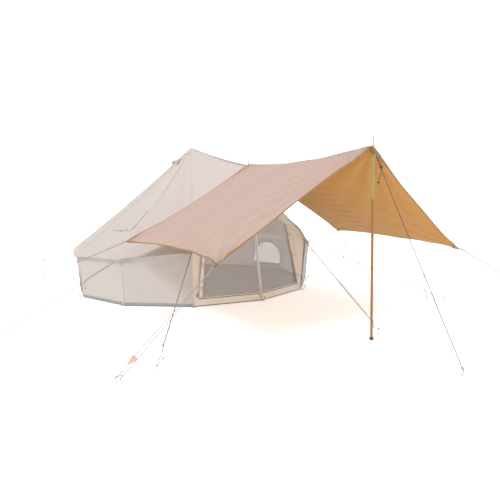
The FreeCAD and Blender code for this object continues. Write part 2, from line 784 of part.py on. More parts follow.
def make_base_fastenings():
    """A webbing loop at each base corner and the peg through it."""
    loops, pegs = [], []
    for number in range(12):
        out = corner(number, 1, 0).normalize()
        foot = corner(number, size["tent_radius"] + 46, 0)
        loop = Part.makeBox(24, 46, 3, Vector(-12, 0, 0))
        loop = loop.cut(Part.makeBox(14, 16, 3, Vector(-7, 26, 0)))
        root = corner(number, size["tent_radius"] + 2, 8)
        loop.Placement = Placement(root, Rotation(UP, 30 * number + 180))
        loops.append(loop)
        shank = bar_between(foot - out * 10, foot + out * 34 + UP * 70, size["peg_radius"])
        shank = shank.common(Part.makeBox(300, 300, 200, Vector(foot.x - 150, foot.y - 150, 0)))
        pegs.append(shank)
    feature("base_loops", loops)
    feature("base_pegs", pegs)


# ---------------------------------------------------------------- build, check and write

def build():
    make_groundsheet()
    make_walls()
    make_windows()
    make_roof()
    make_chimney_flap()
    make_vent_hoods()
    for side, word in ((1, "right"), (-1, "left")):
        make_surround(side, word)
    make_leaves()
    make_zip_slider()
    make_door_rolls()
    make_centre_pole()
    make_door_frame()
    make_awning_pole()
    make_awning()
    guys = make_guys()
    make_ropes(guys)
    make_guy_fittings(guys)
    make_base_fastenings()


def check():
    doc.recompute()
    for obj in doc.Objects:
        if "Invalid" in obj.State or "Error" in obj.State:
            raise RuntimeError(f"{obj.Label} failed: {obj.State}")
    for obj in SUBPARTS:
        if obj.Shape.isNull() or not obj.Shape.isValid():
            raise RuntimeError(f"{obj.Label} has no valid shape")


def write():
    os.makedirs("parts", exist_ok=True)
    for obj in SUBPARTS:
        obj.Shape.exportStep(f"parts/{obj.Label}.step")
    print(len(SUBPARTS), "sub-parts written")


build()
check()
write()
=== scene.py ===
import json
import math

import bpy
import numpy as np
from mathutils import Matrix, Vector, noise
from mathutils.bvhtree import BVHTree

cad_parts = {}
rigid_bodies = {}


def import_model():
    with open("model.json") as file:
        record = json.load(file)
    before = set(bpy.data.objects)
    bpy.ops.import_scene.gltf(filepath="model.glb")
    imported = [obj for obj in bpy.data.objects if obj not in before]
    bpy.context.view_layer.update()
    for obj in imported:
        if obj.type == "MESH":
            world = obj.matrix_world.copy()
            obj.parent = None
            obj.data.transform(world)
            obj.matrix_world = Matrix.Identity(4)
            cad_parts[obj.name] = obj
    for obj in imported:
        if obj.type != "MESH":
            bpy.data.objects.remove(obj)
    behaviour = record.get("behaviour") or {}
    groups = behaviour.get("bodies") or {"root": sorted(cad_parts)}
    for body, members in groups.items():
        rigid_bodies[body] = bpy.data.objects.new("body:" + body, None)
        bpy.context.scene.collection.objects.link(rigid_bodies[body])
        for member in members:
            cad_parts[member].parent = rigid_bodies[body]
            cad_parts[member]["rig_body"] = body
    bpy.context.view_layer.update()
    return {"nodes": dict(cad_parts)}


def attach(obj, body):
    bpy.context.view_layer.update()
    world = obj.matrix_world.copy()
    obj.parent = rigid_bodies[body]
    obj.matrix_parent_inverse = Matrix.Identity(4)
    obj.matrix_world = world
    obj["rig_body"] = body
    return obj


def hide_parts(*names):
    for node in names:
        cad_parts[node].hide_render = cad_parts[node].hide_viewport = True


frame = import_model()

# Bell tent with its awning. Metres, +Z up, the door towards -Y, as in the CAD model.

SIDES = 12
TENT_R, WALL_LEAN, WALL_FOOT = 2.000, 0.060, 0.022
EAVE_R, EAVE_REAR, EAVE_SECOND, EAVE_DOOR = 2.110, 0.650, 0.680, 0.780
APEX_Z, WAIST_R, WAIST_DIP = 2.385, 1.150, 0.040
TUB_R, TUB_H = 1.984, 0.060
GABLE_ALONG, GABLE_Z = 1.721, 1.993
SILL_H, SILL_HALF = 0.110, 0.910
SHOULDER_HALF, SHOULDER_H = 0.747, 1.100
HAUNCH_HALF, HAUNCH_H, DOOR_TOP = 0.603, 1.205, 1.663
POLE_TOP, POLE_R, RIDGE_RUN, SKEW = 2.040, 0.014, 2.627, math.radians(5.9)
AWNING_TOP, AWNING_DIP = 2.054, 0.062
ROPE, PEG_R = 0.007, 0.004
WINDOW_HALF, WINDOW_FOOT, WINDOW_RISE, WINDOW_SHIFT = 0.340, 0.150, 0.080, 0.125
ROLL_R, ROLL_AHEAD, ROLL_ASIDE = 0.027, 0.042, 0.007
AWNING_SEAM = 0.400
ROLL_TURNS, ROLL_STEPS = 10, 22
DARK_ROPES = ("awning_pole", "awning_front_right")
WALL_TUCK, WALL_RIPPLE, TAPE_LIFT, EAVE_TAPE = 0.020, 0.007, 0.0006, 0.992
CHIMNEY_AT, CHIMNEY_R = -74.5, 1.370
PATCH_HALF, FLAP_HALF = (0.195, 0.205), (0.220, 0.230)
CAMERA_AT, CAMERA_PITCH, CAMERA_ROLL, LENS = (-4.374, -7.910, 1.611), 0.115, -0.018, 36.45
AIM_EAST, AIM_NORTH = 0.5774, 0.8165
QUARTER = SIDES // 4
HANDS = ((1, "right"), (-1, "left"))
EAST, NORTH, UP = Vector((1, 0, 0)), Vector((0, 1, 0)), Vector((0, 0, 1))


# ---------------------------------------------------------------- places, as in the CAD model

def corner(number, radius, height):
    angle = math.tau / SIDES * number
    return Vector((radius * math.sin(angle), -radius * math.cos(angle), height))


def eave_height(number):
    step = min(number % SIDES, -number % SIDES)
    return {1: EAVE_DOOR, 2: EAVE_SECOND}.get(step, EAVE_REAR)


def eave(number):
    return corner(number, EAVE_R, eave_height(number))


def wall_point(number, height):
    return corner(number, TENT_R + WALL_LEAN * height / EAVE_REAR, height)


def apex():
    return Vector((0, 0, APEX_Z))


def gable():
    return Vector((0, -GABLE_ALONG, GABLE_Z))


def front(side, across, height):
    fold = TENT_R * (1 - math.cos(math.radians(30)))
    lean = TENT_R - GABLE_ALONG
    return Vector((side * across, fold * across + lean * height / GABLE_Z - TENT_R, height))


def gable_edge(side):
    return [gable(), front(side, 0.700, 1.300), Vector((side * 0.985, -1.710, 1.010)), eave(side)]


def awning_point(along, across, height):
    east = across * math.cos(SKEW) - along * math.sin(SKEW)
    south = along * math.cos(SKEW) + across * math.sin(SKEW)
    return Vector((east, -GABLE_ALONG - south, height))


def awning_corners(side):
    if side < 0:
        places = (-0.200, 1.830, 0.961), (1.090, 1.640, 0.985), (2.417, 1.720, 0.948)
    else:
        places = (-0.200, 1.830, 0.934), (1.090, 1.640, 0.940), (2.417, 1.693, 0.843)
    return [awning_point(along, side * across, high) for along, across, high in places]


def awning_tops():
    start, end = awning_point(0, 0, GABLE_Z + 0.012), awning_point(RIDGE_RUN, 0, AWNING_TOP)
    return start, (start + end) * 0.5 - UP * AWNING_DIP, end


def window_frame(side):
    """Local axes of a window: its foot's middle, across (towards the door), up and out."""
    near, far = (3, 4) if side > 0 else (9, 8)
    a, b = wall_point(near, WINDOW_FOOT), wall_point(far, WINDOW_FOOT)
    across = (a - b).normalized()
    rise = (wall_point(near, WINDOW_FOOT + 0.1) - a).normalized()
    up = (rise - across * rise.dot(across)).normalized()
    return (a + b) * 0.5 + across * WINDOW_SHIFT, across, up, across.cross(up) * side


def slope_frame(degrees, radius):
    """Axes on the left roof slope at an angle from the door: a point, across, up the slope, out."""
    angle = math.radians(degrees)
    below = Vector((radius * math.sin(angle), -radius * math.cos(angle), 0))
    edge, edges = eave(10), eave(9)
    height = eave_height(9) + (1 - WAIST_R / EAVE_R) * (APEX_Z - eave_height(9)) - WAIST_DIP
    out = (edges - edge).cross(corner(9, WAIST_R, height) - edge).normalized()
    out = out if out.z > 0 else -out
    level = edge.z - ((below.x - edge.x) * out.x + (below.y - edge.y) * out.y) / out.z
    across = (edge - edges).normalized()
    return Vector((below.x, below.y, level)), across, out.cross(across), out


# ---------------------------------------------------------------- mesh helpers

def placed(name, data):
    """An object with this data, in the scene."""
    obj = bpy.data.objects.new(name, data)
    bpy.context.scene.collection.objects.link(obj)
    return obj


def heading(line, i):
    """The direction of a line at one of its points."""
    return (line[min(i + 1, len(line) - 1)] - line[max(i - 1, 0)]).normalized()


class Build:
    """Collects several surfaces into one mesh."""

    def __init__(self):
        self.points, self.faces, self.indices, self.smooth = [], [], [], []

    def grid(self, rows, index=0, closed=False, pick=None, smooth=True):
        """Joins equally long rows of points; pick gives a face's material from its row and column."""
        base, wide = len(self.points), len(rows[0])
        for row in rows:
            self.points.extend(row)
        for r in range(len(rows) - 1):
            for c in range(wide if closed else wide - 1):
                d = (c + 1) % wide
                self.faces.append((base + r * wide + c, base + r * wide + d,
                                   base + (r + 1) * wide + d, base + (r + 1) * wide + c))
                self.indices.append(pick(r, c) if pick else index)
                self.smooth.append(smooth)

    def pipe(self, rows, index, smooth):
        """A closed grid with a face over each end."""
        base, around = len(self.points), len(rows[0])
        self.grid(rows, index, closed=True, smooth=smooth)
        last = len(self.points) - around
        self.faces += [tuple(range(base, base + around))[::-1], tuple(range(last, last + around))]
        self.indices += [index, index]
        self.smooth += [False, False]

    def tube(self, line, radius, around=8, index=0):
        """A round tube along a line of points, with closed ends."""
        rows = []
        side = None
        for i, point in enumerate(line):
            ahead = heading(line, i)
            if side is None:
                side = ahead.orthogonal().normalized()
            side = (side - ahead * side.dot(ahead)).normalized()
            over = ahead.cross(side)
            turns = [math.tau * k / around for k in range(around)]
            rows.append([point + (side * math.cos(a) + over * math.sin(a)) * radius for a in turns])
        self.pipe(rows, index, True)

    def strap(self, line, wide, flat, thick=0.0010, index=0):
        """A flat band along a line; flat gives the band's across direction at each point."""
        rows = []
        for i, point in enumerate(line):
            ahead = heading(line, i)
            across = flat(i) if callable(flat) else flat
            across = (across - ahead * across.dot(ahead)).normalized() * wide / 2
            over = ahead.cross(across).normalized() * thick / 2
            rows.append([point - across - over, point + across - over,
                         point + across + over, point - across + over])
        self.pipe(rows, index, False)

    def edging(self, line, inset, wide, middle, index=0):
        """A band beside an edge, moved towards a middle point and facing it."""
        line = [p + (middle - p).normalized() * inset for p in line]
        self.strap(line, wide, lambda i: middle - line[i], index=index)

    def put(self, name, materials, slot, *nodes, body="tent", merge=0.0):
        """The mesh as an object that rides on a body and stands for these CAD nodes."""
        mesh = bpy.data.meshes.new(name)
        mesh.from_pydata([tuple(p) for p in self.points], [], self.faces)
        for material in materials:
            mesh.materials.append(material)
        mesh.polygons.foreach_set("material_index", self.indices)
        mesh.polygons.foreach_set("use_smooth", self.smooth)
        mesh.update()
        obj = placed(name, mesh)
        if merge:
            weld = obj.modifiers.new("weld", "WELD")
            weld.merge_threshold = merge
        return stand(obj, *nodes, body=body)


def share(count):
    return [i / count for i in range(count + 1)]


def through(a, middle, b, t):
    """A parabola through three points, the middle one at half way."""
    return a * ((1 - t) * (1 - 2 * t)) + middle * (4 * t * (1 - t)) + b * (t * (2 * t - 1))


def spline(points, count):
    """A smooth line through points, count steps on each run."""
    ends = [points[0] * 2 - points[1], *points, points[-1] * 2 - points[-2]]
    line = []
    for before, a, b, after in zip(ends, ends[1:], ends[2:], ends[3:]):
        for t in share(count)[:-1]:
            line.append(0.5 * (a * 2 + (b - before) * t + (before * 2 - a * 5 + b * 4 - after) * t ** 2
                               + (a * 3 - before - b * 3 + after) * t ** 3))
    return line + [points[-1]]


def straight(points, step):
    """The same line with points no further apart than step."""
    line = []
    for a, b in zip(points, points[1:]):
        count = max(1, math.ceil((b - a).length / step))
        line += [a.lerp(b, i / count) for i in range(count)]
    return line + [points[-1]]


def hoop(centre, u, v, radius, count=19):
    """A ring of points about a centre, in the plane of u and v."""
    return [centre + (u * math.cos(a) + v * math.sin(a)) * radius for a in np.linspace(0, math.tau, count)]


def ray_hit(outline, origin, angle):
    """How far a flat outline lies from a point inside it, in one direction."""
    dx, dy = math.cos(angle), math.sin(angle)
    best = 1e9
    for (ax, ay), (bx, by) in zip(outline, outline[1:] + outline[:1]):
        ex, ey = bx - ax, by - ay
        cross = dx * ey - dy * ex
        if abs(cross) < 1e-12:
            continue
        far = ((ax - origin[0]) * ey - (ay - origin[1]) * ex) / cross
        along = ((ax - origin[0]) * dy - (ay - origin[1]) * dx) / cross
        if far > 0 and -1e-9 <= along <= 1 + 1e-9:
            best = min(best, far)
    return best


def flat_rings(inner, outer, origin, rings, place, extra):
    """Rows of points from one flat outline (or a point) out to another, put in space by place."""
    angles = sorted({round(math.tau * k / 120, 6) for k in range(120)}
                    | {round(math.atan2(y - origin[1], x - origin[0]) % math.tau, 6) for x, y in extra})
    rows = []
    for t in share(rings):
        row = []
        for angle in angles:
            low = ray_hit(inner, origin, angle) if inner else 0.002
            far = low + (ray_hit(outer, origin, angle) - low) * t
            row.append(place(origin[0] + far * math.cos(angle), origin[1] + far * math.sin(angle)))
        rows.append(row)
    return rows


# ---------------------------------------------------------------- materials

def tinted(color, factor):
    return tuple(min(1.0, c * factor) for c in color) + (1.0,)


def rgb(red, green, blue):
    """A display colour as the linear one that a shader takes."""
    return tuple(((v / 255 + 0.055) / 1.055) ** 2.4 if v > 10 else v / 255 / 12.92
                 for v in (red, green, blue))


class Shader:
    """A principled material with noise in its colour and layers of bump."""

    def __init__(self, name, color, patch=3.0, dark=0.9, light=1.05, rough=0.8, metal=0.0, sheen=0.0):
        self.material = bpy.data.materials.new(name)
        self.material.use_nodes = True
        self.tree = self.material.node_tree
        self.bsdf = self.tree.nodes["Principled BSDF"]
        self.place = self.tree.nodes.new("ShaderNodeTexCoord").outputs["Object"]
        self.bsdf.inputs["Metallic"].default_value = metal
        self.bsdf.inputs["Roughness"].default_value = rough
        self.bsdf.inputs["Sheen Weight"].default_value = sheen
        self.bsdf.inputs["Sheen Roughness"].default_value = 0.4
        cloud = self.noise(patch, 6.0)
        self.color = self.mix(cloud.outputs["Fac"], tinted(color, dark), tinted(color, light))
        self.tree.links.new(self.color, self.bsdf.inputs["Base Color"])

    def node(self, kind, **inputs):
        made = self.tree.nodes.new(kind)
        for key, value in inputs.items():
            made.inputs[key.replace("_", " ")].default_value = value
        return made

    def noise(self, scale, detail, stretch=None):
        made = self.node("ShaderNodeTexNoise", Scale=scale, Detail=detail)
        source = self.place
        if stretch:
            mapping = self.node("ShaderNodeMapping", Scale=stretch)
            self.tree.links.new(self.place, mapping.inputs["Vector"])
            source = mapping.outputs["Vector"]
        self.tree.links.new(source, made.inputs["Vector"])
        return made

    def mix(self, factor, first, second):
        made = self.tree.nodes.new("ShaderNodeMix")
        made.data_type = "RGBA"
        made.clamp_factor = True
        self.tree.links.new(factor, made.inputs["Factor"])
        for socket, value in ((made.inputs["A"], first), (made.inputs["B"], second)):
            colour = [s for s in made.inputs if s.name == socket.name and s.type == "RGBA"][0]
            if isinstance(value, tuple):
                colour.default_value = value
            else:
                self.tree.links.new(value, colour)
        return [s for s in made.outputs if s.type == "RGBA"][0]

    def bump(self, height, strength, distance):
        made = self.node("ShaderNodeBump", Strength=strength, Distance=distance)
        self.tree.links.new(height, made.inputs["Height"])
        before = [link.from_socket for link in self.bsdf.inputs["Normal"].links]
        if before:
            self.tree.links.new(before[0], made.inputs["Normal"])
        self.tree.links.new(made.outputs["Normal"], self.bsdf.inputs["Normal"])
        return self

    def weave(self, scale, strength=0.25):
        """Two crossing sets of threads."""
        total = None
        for direction in ("X", "Z"):
            wave = self.node("ShaderNodeTexWave", Scale=scale, Distortion=0.6, Detail=1.0)
            wave.bands_direction = direction
            self.tree.links.new(self.place, wave.inputs["Vector"])
            if total is None:
                total = wave.outputs["Fac"]
            else:
                both = self.tree.nodes.new("ShaderNodeMath")
                both.operation = "MULTIPLY"
                self.tree.links.new(total, both.inputs[0])
                self.tree.links.new(wave.outputs["Fac"], both.inputs[1])
                total = both.outputs["Value"]
        return self.bump(total, strength, 0.0006)

    def crumple(self, scale, strength, distance=0.01, stretch=None):
        return self.bump(self.noise(scale, 4.0, stretch).outputs["Fac"], strength, distance)

    def flecks(self, scale, color, least=0.6, most=0.7):
        """Small marks of another colour."""
        ramp = self.tree.nodes.new("ShaderNodeValToRGB")
        ramp.color_ramp.elements[0].position = least
        ramp.color_ramp.elements[1].position = most
        self.tree.links.new(self.noise(scale, 2.0).outputs["Fac"], ramp.inputs["Fac"])
        self.color = self.mix(ramp.outputs["Color"], self.color, color + (1.0,))
        self.tree.links.new(self.color, self.bsdf.inputs["Base Color"])
        return self

    def uneven(self, low, high, scale=30.0):
        """Roughness that varies between two values."""
        spread = self.node("ShaderNodeMapRange", To_Min=low, To_Max=high)
        self.tree.links.new(self.noise(scale, 4.0).outputs["Fac"], spread.inputs["Value"])
        self.tree.links.new(spread.outputs["Result"], self.bsdf.inputs["Roughness"])
        return self

    def blend_with(self, other, amount):
        """Mixes the surface with a translucent or transparent one."""
        mixer = self.node("ShaderNodeMixShader", Fac=amount)
        output = self.tree.nodes["Material Output"]
        self.tree.links.new(self.bsdf.outputs[0], mixer.inputs[1])
        self.tree.links.new(other.outputs[0], mixer.inputs[2])
        self.tree.links.new(mixer.outputs[0], output.inputs["Surface"])
        return self

    def glow(self, amount, color=None):
        other = self.node("ShaderNodeBsdfTranslucent")
        if color:
            other.inputs["Color"].default_value = color + (1.0,)
        else:
            self.tree.links.new(self.color, other.inputs["Color"])
        return self.blend_with(other, amount)

    def holes(self, amount):
        return self.blend_with(self.node("ShaderNodeBsdfTransparent"), amount)


CANVAS = rgb(205, 195, 189)
# The door canvas is paler and warmer than the wall canvas: painted warm light, standing for the awning's
# golden glow on the door surround and the rolled doors beneath it.
PALE_WITH_AWNING_GLOW = rgb(231, 221, 208)
BINDING = rgb(146, 108, 62)

canvas = Shader("canvas_roof", CANVAS, 1.6, 0.95, 1.03, 0.88, sheen=0.15)
canvas = canvas.crumple(5.0, 0.25, 0.02).weave(420.0).glow(0.2).material
wall_cloth = Shader("canvas_wall", rgb(197, 190, 185), 2.4, 0.93, 1.03, 0.9, sheen=0.15)
wall_cloth = wall_cloth.crumple(6.0, 0.4, 0.02).weave(420.0).glow(0.22).material
door_cloth_awning_glow = Shader("canvas_door", PALE_WITH_AWNING_GLOW, 2.8, 0.94, 1.03, 0.9, sheen=0.15)
door_cloth_awning_glow = door_cloth_awning_glow.crumple(7.0, 0.3, 0.015).weave(420.0).glow(0.1).material
seam_cloth = Shader("canvas_seam", rgb(190, 182, 175), 20.0, 0.92, 1.04, 0.9, sheen=0.1)
seam_cloth = seam_cloth.weave(900.0, 0.5).material
floor_cloth = Shader("ground_pvc", rgb(139, 137, 134), 2.0, 0.86, 1.08, 0.55)
floor_cloth = floor_cloth.uneven(0.45, 0.75, 6.0).crumple(4.0, 0.5, 0.02).weave(300.0, 0.4).material
patch_cloth = Shader("fireproof", rgb(176, 170, 166), 12.0, 0.9, 1.05, 0.7)
patch_cloth = patch_cloth.crumple(14.0, 0.3).weave(600.0, 0.5).material
net = Shader("insect_net", rgb(247, 247, 247), 30.0, 0.9, 1.05, 0.8).weave(900.0, 0.6).holes(0.66).material
dark_net = Shader("window_net", rgb(92, 88, 86), 30.0, 0.85, 1.1, 0.8).weave(900.0, 0.6).holes(0.30).material
zip_tape = Shader("zip_tape", rgb(78, 74, 72), 60.0, 0.8, 1.2, 0.7).weave(1200.0, 0.6).material
light_tape = Shader("light_tape", rgb(232, 227, 222), 60.0, 0.93, 1.03, 0.8).weave(900.0, 0.5).material
# Painted skylight: the awning's top is tinted rose beige for the sky's light on it, while the cloth itself
# is the golden tan of the underside.
skylit_top_cloth = Shader("awning_top", rgb(189, 162, 150), 1.6, 0.93, 1.05, 0.78, sheen=0.3)
skylit_top_cloth = skylit_top_cloth.crumple(5.0, 0.35, 0.02).crumple(1.6, 0.3, 0.05, (1, 3, 1))
skylit_top_cloth = skylit_top_cloth.weave(500.0).glow(0.16).material
under_cloth = Shader("awning_under", rgb(201, 153, 78), 1.8, 0.92, 1.06, 0.7, sheen=0.2)
under_cloth = under_cloth.crumple(5.0, 0.35, 0.02).weave(500.0).glow(0.34, rgb(235, 178, 104)).material
binding = Shader("awning_binding", BINDING, 30.0, 0.82, 1.12, 0.7, sheen=0.2).weave(900.0, 0.8).material
seam_line = Shader("awning_seam", rgb(184, 156, 143), 40.0, 0.85, 1.08, 0.75).weave(900.0, 0.8).material
webbing = Shader("webbing", rgb(196, 186, 176), 50.0, 0.85, 1.08, 0.75, sheen=0.2).weave(900.0, 0.9).material
rope_skin = Shader("rope", rgb(148, 141, 138), 200.0, 0.8, 1.1, 0.8, sheen=0.2)
rope_skin = rope_skin.flecks(150.0, rgb(96, 88, 96), 0.6, 0.66).bump(
    rope_skin.noise(420.0, 2.0).outputs["Fac"], 0.6, 0.001).material
dark_rope = Shader("rope_dark", rgb(66, 56, 50), 200.0, 0.8, 1.15, 0.8, sheen=0.2)
dark_rope = dark_rope.flecks(140.0, rgb(58, 48, 44), 0.52, 0.58).bump(
    dark_rope.noise(420.0, 2.0).outputs["Fac"], 0.6, 0.001).material
steel = Shader("steel", rgb(176, 178, 182), 25.0, 0.85, 1.08, 0.35, metal=0.9)
steel = steel.uneven(0.25, 0.5).crumple(160.0, 0.08, 0.001).material
galvanised = Shader("galvanised", rgb(158, 160, 163), 60.0, 0.75, 1.15, 0.5, metal=0.85)
galvanised = galvanised.uneven(0.35, 0.65, 60.0).crumple(220.0, 0.15, 0.001).material
bronze = Shader("bronze_pole", rgb(146, 100, 52), 18.0, 0.88, 1.1, 0.4, metal=0.35)
bronze = bronze.uneven(0.3, 0.5).crumple(120.0, 0.06, 0.001).material
olive = Shader("olive_sleeve", rgb(146, 134, 82), 40.0, 0.85, 1.12, 0.6).crumple(200.0, 0.3, 0.001).material
salmon = Shader("salmon_plastic", rgb(222, 158, 142), 60.0, 0.9, 1.08, 0.42)
salmon = salmon.uneven(0.35, 0.55, 80.0).crumple(260.0, 0.12, 0.001).material
rubber = Shader("rubber", rgb(92, 66, 44), 60.0, 0.8, 1.15, 0.7).crumple(180.0, 0.25, 0.001).material
zip_metal = Shader("zip_metal", rgb(150, 146, 140), 90.0, 0.8, 1.1, 0.35, metal=0.9)
zip_metal = zip_metal.uneven(0.25, 0.5, 90.0).material

BODY = {name: node["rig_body"] for name, node in frame["nodes"].items()}


def stand(obj, *nodes, body="tent"):
    """The piece rides on its body and stands for these CAD nodes."""
    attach(obj, body)
    if nodes:
        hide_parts(*nodes)
    return obj


def panel(*points):
    """The area of a nearly flat panel, as triangles from its first corner."""
    first, rest = points[0], points[1:]
    return sum((a - first).cross(b - first).length / 2 for a, b in zip(rest, rest[1:]))


# ---------------------------------------------------------------- roof

def ridge(number, s):
    """A point down a seam, from the apex (0) to an eave corner (1)."""
    height = APEX_Z + s * (eave_height(number) - APEX_Z) - 4 * s * (1 - s) * WAIST_DIP
    return corner(number, EAVE_R * s, height)


def creased(point):
    """The roof's soft folds: they run down the slope, and fan out from the eave corners."""
    radius = math.hypot(point.x, point.y)
    if radius < 0.02:
        return point
    angle = math.atan2(point.x, -point.y)
    lift = noise.noise(Vector((angle * 7.0, radius * 0.9, 4.0))) * 0.016 * min(1, radius)
    number = round(angle / math.tau * SIDES)
    tip = eave(number)
    gap = point - tip
    far = gap.length
    turn = math.atan2(gap.dot(corner(number + QUARTER, 1, 0)), max(0.01, -gap.dot(corner(number, 1, 0))))
    lift += 0.015 * math.exp(-far / 0.45) * min(1, far / 0.08) * math.sin(turn * 7.5 + number)
    out = Vector((point.x / radius * 0.6, point.y / radius * 0.6, 0.8))
    return point + out * lift


def gore(number, u, s):
    """A point of a roof gore, u across from one seam to the next, s down from the apex."""
    point = ridge(number, s).lerp(ridge(number + 1, s), u)
    belly = 4 * u * (1 - u)
    point.z += belly * (0.012 * s ** 8 - 0.014 * math.sin(math.pi * s))
    return creased(point)


FRONT_EDGES = {side: spline(gable_edge(side), 16)[::-1] for side in (1, -1)}


def front_gore(side, u, s):
    """The roof over the door, u from the corner's seam (0) to the middle ridge (1)."""
    edge = FRONT_EDGES[side]
    at = u * (len(edge) - 1)
    low = min(int(at), len(edge) - 2)
    rim = edge[low].lerp(edge[low + 1], at - low)
    middle = apex().lerp(gable(), s) - UP * 4 * s * (1 - s) * 0.026
    point = ridge(side, s).lerp(middle, u) + (rim - eave(side).lerp(gable(), u)) * s ** 1.6
    return creased(point) if u < 1 else point


def make_roof():
    cloth = Build()
    steps = share(44)
    for number in range(1, 11):
        cloth.grid([[gore(number, u, s) for u in share(14)] for s in steps])
    for side in (1, -1):
        rows = [[front_gore(side, u, s) for u in share(48)] for s in steps]
        cloth.grid(rows if side < 0 else [row[::-1] for row in rows])
    roof = cloth.put("roof", [canvas], "canvas", "roof_canvas", merge=0.0005)
    lift = UP * TAPE_LIFT
    tapes = Build()
    for number in range(1, 12):
        line = [creased(ridge(number, s)) + lift for s in share(60)[3:]]
        tapes.strap(line, 0.014, corner(number + QUARTER, 1, 0))
    line = [front_gore(1, 1, s) + lift for s in share(60)[3:]]
    tapes.strap(line, 0.022, EAST)
    for number in range(1, 11):
        line = [gore(number, u, EAVE_TAPE) + lift for u in share(20)]
        tapes.strap(line, 0.026, ridge(number, 1) - ridge(number, 0.9))
    for side in (1, -1):
        line = [front_gore(side, u, EAVE_TAPE) + lift for u in share(64)[:-1]]
        tapes.strap(line, 0.026, lambda i: apex() - line[i])
    cap = [[creased(corner(k * 0.5, r, APEX_Z - r * 0.87)) + UP * 0.006 for k in range(24)]
           for r in (0.02, 0.06, 0.10, 0.13)]
    tapes.grid(cap, closed=True)
    trim = tapes.put("roof_seams", [canvas], "canvas")
    area = sum(panel(apex(), eave(number), eave(number + 1)) for number in range(1, 11))
    area += sum(panel(apex(), *gable_edge(side)) for side in (1, -1))
    return BVHTree.FromPolygons(cloth.points, cloth.faces)


# ---------------------------------------------------------------- wall and windows

def rippled(point):
    """The wall's soft folds, in and out along the radius."""
    radius = math.hypot(point.x, point.y)
    angle = math.atan2(point.x, -point.y)
    calm = 1 - 0.85 * math.exp(-((abs(math.degrees(angle)) - 104) / 9) ** 2)
    wave = noise.noise(Vector((angle * 11.0, point.z * 2.6, 9.0))) * WALL_RIPPLE * calm
    wave += math.sin(angle * 60 + point.z * 9) * 0.0014 * min(1, point.z * 2) * calm
    number = round(angle / math.tau * SIDES)
    tip = wall_point(number, eave_height(number))
    aside, below = (point - tip).to_2d().length, max(0.01, tip.z - point.z)
    far = math.hypot(aside, below)
    fan = math.sin(math.atan2(aside, below) * 9 + number)
    wave += 0.014 * calm * math.exp(-far / 0.34) * min(1, far / 0.08) * fan
    return point + Vector((point.x, point.y, 0)) / radius * wave


def window_outline(grow):
    half, high = WINDOW_HALF + grow, WINDOW_RISE
    arch = [(half * math.cos(a), high + half * math.sin(a)) for a in np.linspace(0, math.pi, 49)]
    return [(-half, -grow), (half, -grow), *arch]


def window_area():
    return 2 * WINDOW_HALF * WINDOW_RISE + math.pi / 2 * WINDOW_HALF ** 2


def make_wall():
    cloth, trim = Build(), Build()
    hole = window_outline(0)
    for number in range(1, 11):
        tops = [eave_height(n) + WALL_TUCK for n in (number, number + 1)]
        side = {3: 1, 8: -1}.get(number, 0)
        if side:
            middle, across, up, out = window_frame(side)
            places = (number, WALL_FOOT), (number + 1, WALL_FOOT), (number + 1, tops[1]), (number, tops[0])
            flats = [wall_point(n, z) - middle for n, z in places]
            rim = [(p.dot(across), p.dot(up)) for p in flats]

            def place(x, y):
                return rippled(middle + across * x + up * y)

            def raised(x, y):
                return place(x, y) + out * 0.002

            cloth.grid(flat_rings(hole, rim, (0, 0.12), 14, place, rim + hole[:2]), closed=True)
            for grow in (0.0, 0.046):
                band = window_outline(grow), window_outline(grow + 0.016)
                rows = flat_rings(*band, (0, 0.12), 1, raised, hole[:2])
                trim.grid(rows, closed=True, index=1 if grow == 0.0 else 0)
        else:
            rows = []
            for t in share(20):
                heights = [WALL_FOOT + t * (top - WALL_FOOT) for top in tops]
                low, far = wall_point(number, heights[0]), wall_point(number + 1, heights[1])
                rows.append([rippled(low.lerp(far, u)) for u in share(28)])
            cloth.grid(rows)
    for number in range(1, 12):
        top = eave_height(number)
        line = [rippled(wall_point(number, WALL_FOOT + (top - WALL_FOOT) * t)) for t in share(16)]
        out = corner(number, 0.0025, 0)
        trim.strap([p + out for p in line], 0.02, corner(number + QUARTER, 1, 0))
    for number in range(1, 11):
        low, far = wall_point(number, WALL_FOOT + 0.017), wall_point(number + 1, WALL_FOOT + 0.017)
        out = corner(number + 0.5, 0.003, 0)
        trim.strap([rippled(low.lerp(far, u)) + out for u in share(28)], 0.034, UP, index=2)
    wall = cloth.put("wall", [wall_cloth], "canvas", "wall_canvas", merge=0.0003)
    seams = trim.put("wall_seams", [seam_cloth, zip_tape, floor_cloth], "canvas")
    area = -2 * window_area()
    for number in range(1, 11):
        a, b = eave_height(number) + WALL_TUCK, eave_height(number + 1) + WALL_TUCK
        area += panel(wall_point(number, WALL_FOOT), wall_point(number + 1, WALL_FOOT),
                      wall_point(number + 1, b), wall_point(number, a))


